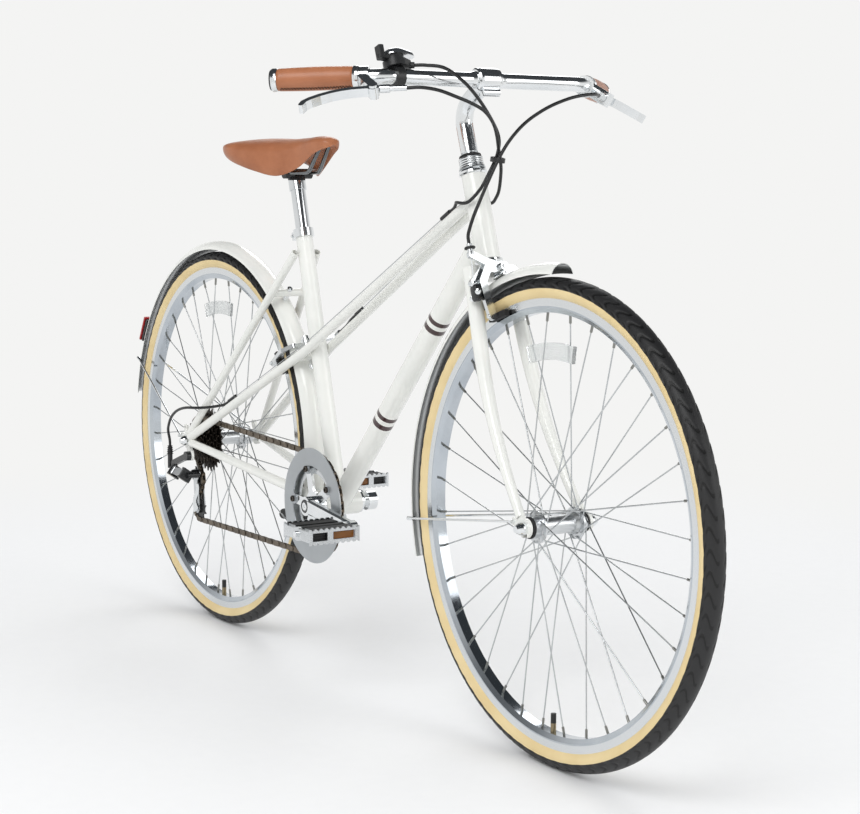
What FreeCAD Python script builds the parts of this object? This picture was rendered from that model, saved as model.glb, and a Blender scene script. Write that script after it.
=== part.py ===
"""Step-through city bicycle with twin lateral tubes, in millimetres.

X points forward, Y to the rider's left and Z up. The origin lies on the ground, midway
between the foremost point of the front tyre and the rearmost point of the rear fender.
"""
import FreeCAD
import Part
import math
import os
from FreeCAD import Vector

# Wheels
TYRE_RADIUS = 346.0
TYRE_WIDTH = 35.0
TYRE_WALL = 2.5
TYRE_RISE = 29.0
RIM_EDGE_RADIUS = TYRE_RADIUS - TYRE_RISE
RIM_DEPTH = 20.0
RIM_BED_RADIUS = RIM_EDGE_RADIUS - RIM_DEPTH
RIM_WIDTH = 24.0
RIM_WALL = 1.6
BEAD_DEPTH = 4.0
TUBE_WALL = 1.0
VALVE_RADIUS = 4.0
VALVE_LENGTH = 44.0
SPOKES_PER_FLANGE = 18
SPOKE_CROSSES = 3
SPOKE_RADIUS = 1.0
NIPPLE_RADIUS = 1.9
NIPPLE_LENGTH = 12.0
FLANGE_RADIUS = 23.0
FLANGE_THICKNESS = 3.0
SPOKE_CIRCLE_RADIUS = 19.0
HUB_BARREL_RADIUS = 13.0
FRONT_FLANGE_OFFSET = 33.0
REAR_LEFT_FLANGE_OFFSET = 36.0
REAR_RIGHT_FLANGE_OFFSET = 20.0
FRONT_HUB_WIDTH = 100.0
REAR_HUB_WIDTH = 135.0
AXLE_RADIUS = 4.75
AXLE_NUT_RADIUS = 9.0
AXLE_NUT_LENGTH = 9.0
AXLE_TAIL = 6.0
REFLECTOR_INSET = 54.0
REFLECTOR_RADIUS = RIM_BED_RADIUS - REFLECTOR_INSET
REFLECTOR_ANGLE = 94.0
REFLECTOR_SPAN = 25.0
REFLECTOR_HEIGHT = 24.0

# Frame
WHEELBASE = 1045.5
CHAINSTAY_LENGTH = 440.0
BRACKET_DROP = 59.0
SEAT_ANGLE = 74.7
SEAT_TUBE_LENGTH = 470.0
SEAT_TUBE_RADIUS = 14.3
SEAT_TUBE_BORE = 12.75
HEAD_ANGLE = 71.5
CROWN_CLEARANCE = 54.0
FORK_LENGTH = TYRE_RADIUS + CROWN_CLEARANCE
FORK_RAKE = 50.0
HEAD_TUBE_LENGTH = 128.0
HEAD_TUBE_RADIUS = 18.0
HEAD_TUBE_WALL = 2.2
DOWN_TUBE_RADIUS = 17.5
DOWN_TUBE_HEIGHT = 34.0
MAIN_TUBE_WALL = 1.6
LATERAL_RADIUS = 8.0
LATERAL_HEAD_HEIGHT = 90.0
LATERAL_HEAD_OFFSET = 9.5
LATERAL_SEAT_OFFSET = 21.4
LATERAL_BEND = 200.0
SEAT_STAY_RADIUS = 7.0
SEAT_STAY_TOP_DROP = 40.0
SEAT_STAY_OFFSET = 20.5
CHAIN_STAY_FRONT_RADIUS = 9.5
CHAIN_STAY_REAR_RADIUS = 7.0
CHAIN_STAY_OFFSET = 20.0
STAY_WALL = 1.4
SHELL_WIDTH = 68.0
SHELL_RADIUS = 20.0
SHELL_BORE = 17.0
DROPOUT_THICKNESS = 5.0
DROPOUT_RADIUS = 17.0
DROPOUT_ARM = 46.0
DROPOUT_ARM_RADIUS = 6.0
SLOT_ANGLE = -40.0
HANGER_FORWARD = 8.0
HANGER_DROP = 28.0
HANGER_RADIUS = 9.0
HANGER_BORE = 5.0
EYELET_RADIUS = 6.0
EYELET_BORE = 2.5
EYELET_REACH = 25.0
RACK_EYELET_ANGLE = 115.0
FENDER_EYELET_ANGLE = 165.0
BRIDGE_RADIUS = 6.5
FENDER_BOLT_RADIUS = 2.5
FENDER_GAP = 20.0
FENDER_RADIUS = TYRE_RADIUS + FENDER_GAP
FENDER_HEIGHT = 16.0
FENDER_EDGE_RADIUS = FENDER_RADIUS - FENDER_HEIGHT
BRAKE_BRIDGE_GAP = 13.0
STAY_BRIDGE_GAP = 17.0
CHAIN_BRIDGE_GAP = 14.0
BRAKE_BRIDGE_REACH = FENDER_RADIUS + BRAKE_BRIDGE_GAP
STAY_BRIDGE_REACH = FENDER_RADIUS + STAY_BRIDGE_GAP
CHAIN_BRIDGE_REACH = CHAINSTAY_LENGTH - FENDER_RADIUS - CHAIN_BRIDGE_GAP

# Headset, fork, stem and handlebar
CUP_HEIGHT = 9.0
CUP_RADIUS = 21.0
HEADSET_GAP = 0.5
STEERER_RADIUS = 12.7
STEERER_BORE = 11.1
STEERER_TOP = 30.0
CROWN_HEIGHT = 21.0
CROWN_DEPTH = 26.0
BLADE_OFFSET_TOP = 34.0
BLADE_RADIUS_TOP = 11.5
BLADE_RADIUS_TIP = 6.5
BLADE_WALL = 1.5
SOCKET_RADIUS = 13.0
SOCKET_LENGTH = 24.0
TOP_RACE_HEIGHT = 8.0
LOCKNUT_HEIGHT = 10.0
LOCKNUT_RADIUS = 18.0
QUILL_RADIUS = 11.05
QUILL_DEPTH = 70.0
STEM_RADIUS = 13.0
STEM_RISE = 96.0
STEM_BEND = 34.0
CLAMP_FORWARD = 62.0
CLAMP_RISE = 41.0
CLAMP_RADIUS = 18.0
CLAMP_WIDTH = 40.0
BAR_RADIUS = 11.1
BAR_WALL = 1.6
BAR_SLEEVE_RADIUS = 12.7
BAR_SLEEVE_WIDTH = 60.0
BAR_STRAIGHT = 171.5
BAR_HALF_WIDTH = 290.0
BAR_SWEEP_BACK = 107.0
BAR_DROP = 5.0
BAR_BEND = 38.0
GRIP_LENGTH = 125.0
GRIP_RADIUS = 15.5

# Seat
POST_RADIUS = 12.7
POST_WALL = 2.2
POST_INSERTION = 105.0
POST_RISE = 78.0
COLLAR_HEIGHT = 14.0
COLLAR_WALL = 3.0
SADDLE_LENGTH = 278.0
SADDLE_WIDTH = 168.0
SADDLE_SETBACK = 157.0
SADDLE_RISE = 80.4
SADDLE_DEPTH = 64.0
RAIL_RADIUS = 3.5
RAIL_OFFSET = 20.0

# Drive
CHAIN_PITCH = 12.7
CHAIN_LINE = 45.0
CHAIN_LENGTH = 110
ROLLER_RADIUS = 3.9
PIN_RADIUS = 1.8
CHAIN_FIT = 0.05
INNER_WIDTH = 2.6
PLATE_THICKNESS = 1.0
PLATE_RADIUS = 4.2
RING_TEETH = 42
RING_THICKNESS = 2.0
COG_TEETH = (14, 16, 18, 20, 22, 24, 28)
COG_THICKNESS = 1.8
COG_SPACING = 5.0
PULLEY_TEETH = 10
CRANK_LENGTH = 168.0
CRANK_ANGLE = -3.0
CRANK_BOSS_RADIUS = 16.0
CRANK_EYE_RADIUS = 12.0
CRANK_THICKNESS = 12.0
CRANK_BEVEL = 3.0
CRANK_BOSS_FACE = 66.0
CRANK_EYE_FACE = 80.0
BOLT_CIRCLE_RADIUS = 62.0
GUARD_RADIUS = 96.0
GUARD_INNER_RADIUS = 66.0
SPINDLE_RADIUS = 8.5
PEDAL_LENGTH = 86.0
PEDAL_WIDTH = 92.0
PEDAL_HEIGHT = 25.0
PEDAL_AXLE_RADIUS = 4.5
PEDAL_CAGE = 3.0
PEDAL_BLOCK = 22.0
PEDAL_WINDOW_HEIGHT = 13.0
PEDAL_LENS_WINDOW = (8.0, 47.0)
PEDAL_BLOCK_WINDOW = (57.0, 83.0)
PEDAL_LENS_LAP = 1.5
PEDAL_RIB_PITCH = 4.0
PEDAL_GROOVE = 1.6
LINK_LENGTH = 38.0
LINK_SLANT = 35.0
LINK_SPACING = 13.0

# Brakes
PAD_INSET = 8.5
CALIPER_REACH = FORK_LENGTH - CUP_HEIGHT - HEADSET_GAP - CROWN_HEIGHT / 2 - (RIM_EDGE_RADIUS - PAD_INSET)
ARM_THICKNESS = 7.0
PAD_GAP = 2.0
PAD_THICKNESS = 9.0
PAD_LENGTH = 40.0
PAD_HEIGHT = 9.0
BRAKE_BOLT_RADIUS = 3.0
SPACER_RADIUS = 4.5

# Fenders
FENDER_WIDTH = 38.0
FENDER_THICKNESS = 1.2
FRONT_FENDER_FROM = 89.0
FRONT_FENDER_TO = 196.5
REAR_FENDER_FROM = -11.0
REAR_FENDER_TO = 171.5
FRONT_STAY_ANGLE = 187.0
REAR_STAY_ANGLE = 160.0
STAY_WIRE_RADIUS = 1.8
REAR_LAMP_ANGLE = 151.0

# Cables and kickstand
HOUSING_RADIUS = 2.5
WIRE_RADIUS = 0.8
STOP_RADIUS = 3.6
STOP_LENGTH = 24.0
FRONT_STOP_REACH = 780.0
BRAKE_STOP_REACH = 475.0
SHIFT_STOP_REACH = 150.0
KICKSTAND_LENGTH = 268.0
KICKSTAND_RADIUS = 7.0

# Clearance of turning fits, and of pieces that only stand beside each other
RUNNING_FIT = 0.05
SEATED_GAP = 0.3

X_AXIS = Vector(1, 0, 0)
Y_AXIS = Vector(0, 1, 0)
Z_AXIS = Vector(0, 0, 1)


# Reference points and directions

def direction(angle):
    """Unit vector in the side view at an angle in degrees from forward towards up."""
    return Vector(math.cos(math.radians(angle)), 0, math.sin(math.radians(angle)))


REAR_REACH = FENDER_RADIUS * math.cos(math.radians(180 - REAR_FENDER_TO))
REAR_AXLE = Vector((REAR_REACH - WHEELBASE - TYRE_RADIUS) / 2, 0, TYRE_RADIUS)
FRONT_AXLE = REAR_AXLE + Vector(WHEELBASE, 0, 0)
BRACKET = REAR_AXLE + Vector(math.sqrt(CHAINSTAY_LENGTH ** 2 - BRACKET_DROP ** 2), 0, -BRACKET_DROP)
SEAT_UP = direction(180 - SEAT_ANGLE)
STEER_UP = direction(180 - HEAD_ANGLE)
STEER_FORWARD = direction(90 - HEAD_ANGLE)
STEER_FOOT = FRONT_AXLE - STEER_FORWARD * FORK_RAKE
HEAD_TOP = FORK_LENGTH + HEAD_TUBE_LENGTH
CROWN_TOP = FORK_LENGTH - CUP_HEIGHT - HEADSET_GAP
CROWN_LOW = CROWN_TOP - CROWN_HEIGHT
DROPOUT_MIDDLE = (REAR_HUB_WIDTH + DROPOUT_THICKNESS) / 2
STAY_END_LEFT = DROPOUT_MIDDLE + 3.5


def steer(along, forward=0.0, left=0.0):
    """Point given along the steering axis from beside the front axle, ahead of it and to the left."""
    return STEER_FOOT + STEER_UP * along + STEER_FORWARD * forward + Y_AXIS * left


def seat(along, left=0.0):
    """Point on the seat tube's axis, counted from the bottom bracket."""
    return BRACKET + SEAT_UP * along + Y_AXIS * left


def beside(axle, radius, angle, left=0.0):
    """Point at a radius and side-view angle about an axle."""
    return axle + direction(angle) * radius + Y_AXIS * left


# Solids from a few plain operations

def rod(start, end, radius):
    """Round bar between two points."""
    return Part.makeCylinder(radius, (end - start).Length, start, end - start)


def tube(start, end, radius, bore):
    """Round tube between two points."""
    return rod(start, end, radius).cut(rod(start, end, bore))


def taper(start, end, start_radius, end_radius):
    """Cone between two points."""
    return Part.makeCone(start_radius, end_radius, (end - start).Length, start, end - start)


def turned(profile, centre, axis=Y_AXIS, across=X_AXIS):
    """Solid turned about an axis from a closed outline of (radius, distance along the axis)."""
    points = [centre + across * radius + axis * along for radius, along in profile]
    solid = Part.Face(Part.makePolygon(points + points[:1])).revolve(centre, axis, 360)
    return Part.makeSolid(solid.Shells[0])


def extruded(points, thickness):
    """Plate from a closed outline of points, thickened by a vector."""
    return Part.Face(Part.makePolygon(points + points[:1])).extrude(thickness)


def fused(solids):
    """One solid from several that meet."""
    return solids[0].multiFuse(solids[1:]).removeSplitter()


def bar(points, radius, low, high):
    """Flat bar with round ends and corners through points in the XY plane, from Z low to high."""
    rounds = [Part.makeCylinder(radius, high - low, point + Z_AXIS * low) for point in points]
    straights = []
    for start, end in zip(points, points[1:]):
        side = Vector(start.y - end.y, end.x - start.x, 0).normalize() * radius
        outline = [start + side, start - side, end - side, end + side]
        straights.append(extruded([p + Z_AXIS * low for p in outline], Z_AXIS * (high - low)))
    return fused(rounds + straights)


def bent_path(points, bends):
    """Wire of straight runs through points, with a tangent arc of the given radius at each corner."""
    edges = []
    last = points[0]
    for before, corner, after, bend in zip(points, points[1:], points[2:], bends):
        arrive = (before - corner).normalize()
        leave = (after - corner).normalize()
        half = arrive.getAngle(leave) / 2
        reach = bend / math.tan(half)
        middle = (arrive + leave).normalize()
        first = corner + arrive * reach
        second = corner + leave * reach
        crest = corner + middle * (bend / math.sin(half) - bend)
        edges.append(Part.LineSegment(last, first).toShape())
        edges.append(Part.Arc(first, crest, second).toShape())
        last = second
    edges.append(Part.LineSegment(last, points[-1]).toShape())
    return Part.Wire(edges)


def bent_rod(points, bends, radius):
    """Round bar along a bent path."""
    path = bent_path(points, bends)
    profile = Part.Wire(Part.makeCircle(radius, points[0], points[1] - points[0]))
    return path.makePipeShell([profile], True, False)


def wide_bends(points):
    """Largest corner radii that the runs of a cable route allow."""
    bends = []
    for before, corner, after in zip(points, points[1:], points[2:]):
        arrive = before - corner
        leave = after - corner
        half_turn = (math.pi - arrive.getAngle(leave)) / 2
        bends.append(0.48 * min(arrive.Length, leave.Length) / math.tan(half_turn))
    return bends


def cable(points, radius):
    """Cable along a route, with every bend as wide as its runs allow."""
    return bent_rod(points, wide_bends(points), radius)


def placed(shape, origin, across, along):
    """Copy of a shape drawn at the origin, moved to a point with its X and Y axes turned."""
    normal = across.cross(along)
    matrix = FreeCAD.Matrix(
        across.x, along.x, normal.x, origin.x,
        across.y, along.y, normal.y, origin.y,
        across.z, along.z, normal.z, origin.z,
        0, 0, 0, 1)
    copy = shape.copy()
    copy.Placement = FreeCAD.Placement(matrix)
    return copy


# Frame

LATERAL_HEAD = steer(FORK_LENGTH + LATERAL_HEAD_HEIGHT)


def lateral_seat_point():
    """Point where the side view of the lateral tubes crosses the seat tube's axis."""
    run = LATERAL_HEAD - REAR_AXLE
    normal = Vector(-run.z, 0, run.x)
    share = (REAR_AXLE - BRACKET).dot(normal) / SEAT_UP.dot(normal)
    return BRACKET + SEAT_UP * share


LATERAL_SEAT = lateral_seat_point()
LATERAL_BACK = (REAR_AXLE - LATERAL_HEAD).normalize()
LATERAL_UP = Vector(LATERAL_BACK.z, 0, -LATERAL_BACK.x)
if LATERAL_UP.z < 0:
    LATERAL_UP = LATERAL_UP * -1
SEAT_STAY_TOP = seat(SEAT_TUBE_LENGTH - SEAT_STAY_TOP_DROP)


def lateral_left(point):
    """How far the lateral tubes stand from the middle plane beside a point of the side view."""
    front = (LATERAL_SEAT - LATERAL_HEAD).Length
    back = (REAR_AXLE - LATERAL_SEAT).Length
    along = (point - LATERAL_HEAD).dot(LATERAL_BACK)
    if along < front:
        return LATERAL_HEAD_OFFSET + (LATERAL_SEAT_OFFSET - LATERAL_HEAD_OFFSET) * along / front
    return LATERAL_SEAT_OFFSET + (STAY_END_LEFT - LATERAL_SEAT_OFFSET) * (along - front) / back


def dropout(side):
    """Plate that holds the rear axle, with eyelets, and on the right the derailleur hanger."""
    face = REAR_HUB_WIDTH / 2
    arms = [(LATERAL_SEAT - REAR_AXLE).normalize() * DROPOUT_ARM,
            (SEAT_STAY_TOP - REAR_AXLE).normalize() * DROPOUT_ARM,
            (BRACKET - REAR_AXLE).normalize() * DROPOUT_ARM]
    solids = [Part.makeCylinder(DROPOUT_RADIUS, DROPOUT_THICKNESS)]
    for arm in arms:
        solids.append(bar([Vector(0, 0, 0), Vector(arm.x, arm.z, 0)], DROPOUT_ARM_RADIUS, 0,
                          DROPOUT_THICKNESS))
    eyelets = [direction(angle) * EYELET_REACH for angle in (RACK_EYELET_ANGLE, FENDER_EYELET_ANGLE)]
    for eyelet in eyelets:
        solids.append(bar([Vector(0, 0, 0), Vector(eyelet.x, eyelet.z, 0)], EYELET_RADIUS, 0,
                          DROPOUT_THICKNESS))
    if side < 0:
        hanger = [Vector(0, 0, 0), Vector(HANGER_FORWARD, -HANGER_DROP, 0)]
        solids.append(bar(hanger, HANGER_RADIUS, 0, DROPOUT_THICKNESS))
    plate = fused(solids)
    slot_way = Vector(math.cos(math.radians(SLOT_ANGLE)), math.sin(math.radians(SLOT_ANGLE)), 0)
    slot = [Vector(0, 0, 0), slot_way * (2 * DROPOUT_RADIUS)]
    plate = plate.cut(bar(slot, AXLE_RADIUS + RUNNING_FIT, -1, DROPOUT_THICKNESS + 1))
    for eyelet in eyelets:
        hole = Part.makeCylinder(EYELET_BORE, DROPOUT_THICKNESS, Vector(eyelet.x, eyelet.z, 0))
        plate = plate.cut(hole)
    if side < 0:
        hole = Part.makeCylinder(HANGER_BORE, DROPOUT_THICKNESS, Vector(HANGER_FORWARD, -HANGER_DROP, 0))
        plate = plate.cut(hole)
    near = face if side > 0 else -face - DROPOUT_THICKNESS
    return placed(plate, REAR_AXLE + Y_AXIS * (near + DROPOUT_THICKNESS), X_AXIS, Z_AXIS)


def hollow_stay(start, end, start_radius, end_radius):
    """Tapered stay with a thin wall."""
    return taper(start, end, start_radius, end_radius).cut(
        taper(start, end, start_radius - STAY_WALL, end_radius - STAY_WALL))


REAR_BRAKE = REAR_AXLE - LATERAL_BACK * BRAKE_BRIDGE_REACH
REAR_BRAKE_OUT = LATERAL_BACK * -1
REAR_BRAKE_BOLT = LATERAL_UP
FRONT_BRAKE = steer(CROWN_TOP - CROWN_HEIGHT / 2)
KICKSTAND_PIVOT = Vector(BRACKET.x - 42.0, 24.0, BRACKET.z - 30.0)
KICKSTAND_FOLDED = Vector(-0.979, 0.135, -0.150).normalize()
KICKSTAND_DOWN = Vector(0.17, 0.36, -0.916).normalize()
KICKSTAND_AXIS = KICKSTAND_FOLDED.cross(KICKSTAND_DOWN).normalize()


def frame():
    """Brazed frame: its tubes are mitred against each other and meet face to face."""
    half_shell = Y_AXIS * (SHELL_WIDTH / 2)
    shell_body = rod(BRACKET - half_shell, BRACKET + half_shell, SHELL_RADIUS)
    head_body = rod(steer(FORK_LENGTH), steer(HEAD_TOP), HEAD_TUBE_RADIUS)
    seat_body = rod(BRACKET, seat(SEAT_TUBE_LENGTH), SEAT_TUBE_RADIUS)
    head_tube = tube(steer(FORK_LENGTH), steer(HEAD_TOP), HEAD_TUBE_RADIUS,
                     HEAD_TUBE_RADIUS - HEAD_TUBE_WALL)
    shell = tube(BRACKET - half_shell, BRACKET + half_shell, SHELL_RADIUS, SHELL_BORE)
    seat_tube = tube(BRACKET, seat(SEAT_TUBE_LENGTH), SEAT_TUBE_RADIUS, SEAT_TUBE_BORE).cut(shell_body)
    down_top = steer(FORK_LENGTH + DOWN_TUBE_HEIGHT)
    down_tube = tube(BRACKET, down_top, DOWN_TUBE_RADIUS, DOWN_TUBE_RADIUS - MAIN_TUBE_WALL)
    down_tube = down_tube.cut(shell_body.multiFuse([head_body, seat_body]))
    solids = [head_tube, shell, seat_tube, down_tube]
    for side in (-1, 1):
        plate = dropout(side)
        near = Y_AXIS * (side * STAY_END_LEFT)
        run = [LATERAL_HEAD + Y_AXIS * (side * LATERAL_HEAD_OFFSET),
               LATERAL_SEAT + Y_AXIS * (side * LATERAL_SEAT_OFFSET),
               REAR_AXLE - LATERAL_BACK * (DROPOUT_RADIUS + SEATED_GAP) + near]
        lateral = bent_rod(run, [LATERAL_BEND], LATERAL_RADIUS)
        lateral = lateral.cut(bent_rod(run, [LATERAL_BEND], LATERAL_RADIUS - STAY_WALL))
        lateral = lateral.cut(head_body.multiFuse([seat_body, plate]))
        stay_way = (SEAT_STAY_TOP - REAR_AXLE).normalize()
        stay_top = SEAT_STAY_TOP + Y_AXIS * (side * SEAT_STAY_OFFSET)
        stay_end = REAR_AXLE + stay_way * (DROPOUT_RADIUS + SEATED_GAP + DROPOUT_ARM_RADIUS) + near
        seat_stay = hollow_stay(stay_top, stay_end, SEAT_STAY_RADIUS, SEAT_STAY_RADIUS - 0.01)
        seat_stay = seat_stay.cut(seat_body.multiFuse([plate, lateral]))
        chain_way = (BRACKET - REAR_AXLE).normalize()
        chain_end = REAR_AXLE + chain_way * (DROPOUT_RADIUS + SEATED_GAP) + near
        chain_stay = hollow_stay(BRACKET + Y_AXIS * (side * CHAIN_STAY_OFFSET), chain_end,
                                 CHAIN_STAY_FRONT_RADIUS, CHAIN_STAY_REAR_RADIUS)
        chain_stay = chain_stay.cut(shell_body.multiFuse([plate, lateral]))
        solids += [lateral, seat_stay, chain_stay, plate]
    stays = solids[4:]
    solids += bridges(stays) + kickstand_bracket(stays)
    return Part.makeCompound([largest(solid) for solid in solids])


def largest(shape):
    """The biggest solid of a shape, without offcuts of a mitre."""
    return max(shape.Solids, key=lambda solid: solid.Volume)


def bridges(stays):
    """Cross tubes for the rear brake, the fender and the chain stays."""
    stay_way = (SEAT_STAY_TOP - REAR_AXLE).normalize()
    chain_way = (REAR_AXLE - BRACKET).normalize()
    centres = [REAR_BRAKE, REAR_AXLE + stay_way * STAY_BRIDGE_REACH,
               BRACKET + chain_way * CHAIN_BRIDGE_REACH]
    ways = [REAR_BRAKE_BOLT, stay_way, chain_way]
    solids = []
    for centre, way in zip(centres, ways):
        half = Y_AXIS * (2 * LATERAL_SEAT_OFFSET)
        bridge = rod(centre - half, centre + half, BRIDGE_RADIUS)
        bridge = bridge.cut(stays[0].multiFuse(stays[1:]))
        bridge = min(bridge.Solids, key=lambda solid: abs(solid.CenterOfMass.y))
        hole = rod(centre - way * (2 * BRIDGE_RADIUS), centre + way * (2 * BRIDGE_RADIUS),
                   BRAKE_BOLT_RADIUS + RUNNING_FIT)
        solids.append(bridge.cut(hole))
    return solids


KICK_PLATE_LENGTH = 24.0
KICK_PLATE_THICKNESS = 5.0
KICK_HOUSING_WIDTH = 15.0


def kickstand_bracket(stays):
    """Plate brazed between the chain stays, and under it the lug of the kickstand."""
    half = KICK_PLATE_LENGTH / 2
    chain_way = (REAR_AXLE - BRACKET).normalize()
    centre = BRACKET + chain_way * (KICK_PLATE_LENGTH / 2 + SHELL_RADIUS + 2)
    plate = Part.makeBox(KICK_PLATE_LENGTH, 2 * CHAIN_STAY_OFFSET + 10, KICK_PLATE_THICKNESS,
                         centre + Vector(-half, -CHAIN_STAY_OFFSET - 5, -KICK_PLATE_THICKNESS / 2))
    plate = plate.cut(stays[0].multiFuse(stays[1:]))
    plate = min(plate.Solids, key=lambda solid: abs(solid.CenterOfMass.y))
    lug_top = centre.z - KICK_PLATE_THICKNESS / 2
    lug = Part.makeBox(KICK_PLATE_LENGTH, KICK_HOUSING_WIDTH,
                       lug_top - KICKSTAND_PIVOT.z + KICKSTAND_RADIUS,
                       Vector(KICKSTAND_PIVOT.x - half, -4, KICKSTAND_PIVOT.z - KICKSTAND_RADIUS))
    pin = rod(KICKSTAND_PIVOT + KICKSTAND_AXIS * 40, KICKSTAND_PIVOT - KICKSTAND_AXIS * KICKSTAND_RADIUS,
              KICK_PIN_RADIUS)
    pin = pin.common(Part.makeBox(200, 200, 200,
                                  Vector(KICKSTAND_PIVOT.x - 100, -4, KICKSTAND_PIVOT.z - 100)))
    return [plate.fuse(lug).fuse(pin).removeSplitter()]


KICK_PIN_RADIUS = 4.0


def kickstand_leg():
    """Bent steel leg that swings about its pin, with a rubber foot."""
    eye_half = KICKSTAND_RADIUS + 1
    eye = rod(KICKSTAND_PIVOT - KICKSTAND_AXIS * eye_half, KICKSTAND_PIVOT + KICKSTAND_AXIS * eye_half,
              KICKSTAND_RADIUS + 3)
    tip = KICKSTAND_PIVOT + KICKSTAND_FOLDED * KICKSTAND_LENGTH
    leg = taper(KICKSTAND_PIVOT, tip, KICKSTAND_RADIUS, KICKSTAND_RADIUS - 1)
    foot = rod(tip - KICKSTAND_FOLDED * 28, tip + KICKSTAND_FOLDED * 6, KICKSTAND_RADIUS + 2.5)
    hole = rod(KICKSTAND_PIVOT - KICKSTAND_AXIS * 60, KICKSTAND_PIVOT + KICKSTAND_AXIS * 60,
               KICK_PIN_RADIUS + RUNNING_FIT)
    return fused([eye, leg, foot]).cut(hole)


# Wheels

SECTION_RADIUS = TYRE_WIDTH / 2
SECTION_CENTRE = TYRE_RADIUS - SECTION_RADIUS


def chord(radius, circle):
    """Half width of the tyre's section circle at a distance from the axle."""
    return math.sqrt(circle ** 2 - (radius - SECTION_CENTRE) ** 2)


def tyre(axle):
    """Casing of the tyre: an open tube whose beads hook inside the rim."""
    shoulder = RIM_EDGE_RADIUS + 1
    bead_foot = RIM_EDGE_RADIUS - BEAD_DEPTH
    bead_side = RIM_WIDTH / 2 - RIM_WALL - RUNNING_FIT
    inner_circle = SECTION_RADIUS - TYRE_WALL
    lip = bead_foot + TYRE_WALL
    outer = chord(shoulder, SECTION_RADIUS)
    inner = chord(lip, inner_circle)
    places = [(shoulder, outer), (RIM_EDGE_RADIUS + SEATED_GAP, bead_side), (bead_foot, bead_side),
              (bead_foot, inner), (lip, inner)]
    left = [axle + X_AXIS * r + Y_AXIS * y for r, y in places]
    right = [axle + X_AXIS * r - Y_AXIS * y for r, y in places]
    edges = [Part.LineSegment(a, b).toShape() for a, b in zip(left, left[1:])]
    edges.append(Part.Arc(left[-1], axle + X_AXIS * (TYRE_RADIUS - TYRE_WALL), right[-1]).toShape())
    edges += [Part.LineSegment(a, b).toShape() for a, b in zip(right[::-1], right[-2::-1])]
    edges.append(Part.Arc(right[0], axle + X_AXIS * TYRE_RADIUS, left[0]).toShape())
    solid = Part.Face(Part.Wire(edges)).revolve(axle, Y_AXIS, 360)
    return Part.makeSolid(solid.Shells[0])


def inner_tube(axle):
    """Inner tube with its valve pointing at the hub."""
    radius = SECTION_RADIUS - TYRE_WALL - SEATED_GAP
    torus = Part.makeTorus(SECTION_CENTRE, radius, axle, Y_AXIS)
    torus = torus.cut(Part.makeTorus(SECTION_CENTRE, radius - TUBE_WALL, axle, Y_AXIS))
    root = SECTION_CENTRE - radius + TUBE_WALL / 2
    stem = rod(axle - Z_AXIS * root, axle - Z_AXIS * (root - VALVE_LENGTH), VALVE_RADIUS)
    return torus.fuse(stem)


def rim(axle):
    """Single-wall rim: two brake tracks and a sloped bed, with the valve hole."""
    half = RIM_WIDTH / 2
    track = RIM_BED_RADIUS + 7
    bed = half - 4
    right = [(RIM_EDGE_RADIUS, -half), (track, -half), (RIM_BED_RADIUS, -bed)]
    inside = [(RIM_EDGE_RADIUS, half - RIM_WALL), (track + RIM_WALL / 2, half - RIM_WALL),
              (RIM_BED_RADIUS + RIM_WALL, bed - RIM_WALL / 2)]
    outline = right + [(r, -y) for r, y in right[::-1]]
    outline += inside + [(r, -y) for r, y in inside[::-1]]
    ring = turned(outline, axle)
    hole = rod(axle - Z_AXIS * (RIM_BED_RADIUS - 5), axle - Z_AXIS * (RIM_BED_RADIUS + 5),
               VALVE_RADIUS + RUNNING_FIT)
    return ring.cut(hole)


def spoke_seat(flange, inside):
    """Distance from the middle plane at which a spoke leaves its flange, on its inner or outer face."""
    clear = FLANGE_THICKNESS / 2 + SPOKE_RADIUS + SEATED_GAP
    lean = abs(flange) / (RIM_BED_RADIUS - SPOKE_CIRCLE_RADIUS) * FLANGE_RADIUS
    reach = -clear if inside else clear + lean
    return math.copysign(abs(flange) + reach, flange)


def spokes(axle, left_flange, right_flange):
    """Crossed spokes, each with its nipple, from both flanges to the rim."""
    step = 360 / SPOKES_PER_FLANGE
    sweep = SPOKE_CROSSES * step
    solids = []
    for flange, shift in ((left_flange, 0), (-right_flange, step / 2)):
        for index in range(SPOKES_PER_FLANGE):
            inside = index % 2 == 0
            angle = index * step + shift + step / 4
            lead = sweep if inside else -sweep
            start = beside(axle, SPOKE_CIRCLE_RADIUS, angle, spoke_seat(flange, inside))
            end = beside(axle, RIM_BED_RADIUS - SEATED_GAP, angle + lead)
            way = (end - start).normalize()
            length = (end - start).Length
            across = way.cross(Y_AXIS).normalize()
            collar = length - NIPPLE_LENGTH
            profile = [(0, 0), (SPOKE_RADIUS, 0), (SPOKE_RADIUS, collar), (NIPPLE_RADIUS, collar),
                       (NIPPLE_RADIUS, length), (0, length)]
            solids.append(turned(profile, start, way, across))
    return Part.makeCompound(solids)


def hub(axle, left_flange, right_flange, left_end, right_end):
    """Hub shell with two flanges, bored for the axle."""
    half = FLANGE_THICKNESS / 2
    bore = AXLE_RADIUS + RUNNING_FIT
    barrel = HUB_BARREL_RADIUS
    outline = [(bore, -right_end), (barrel + 2, -right_end), (barrel + 2, -right_flange - half),
               (FLANGE_RADIUS, -right_flange - half), (FLANGE_RADIUS, -right_flange + half),
               (barrel + 3, -right_flange + half), (barrel, -right_flange + half + 6),
               (barrel, left_flange - half - 6), (barrel + 3, left_flange - half),
               (FLANGE_RADIUS, left_flange - half), (FLANGE_RADIUS, left_flange + half),
               (barrel + 2, left_flange + half), (barrel + 2, left_end), (bore, left_end)]
    return turned(outline, axle)


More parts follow.
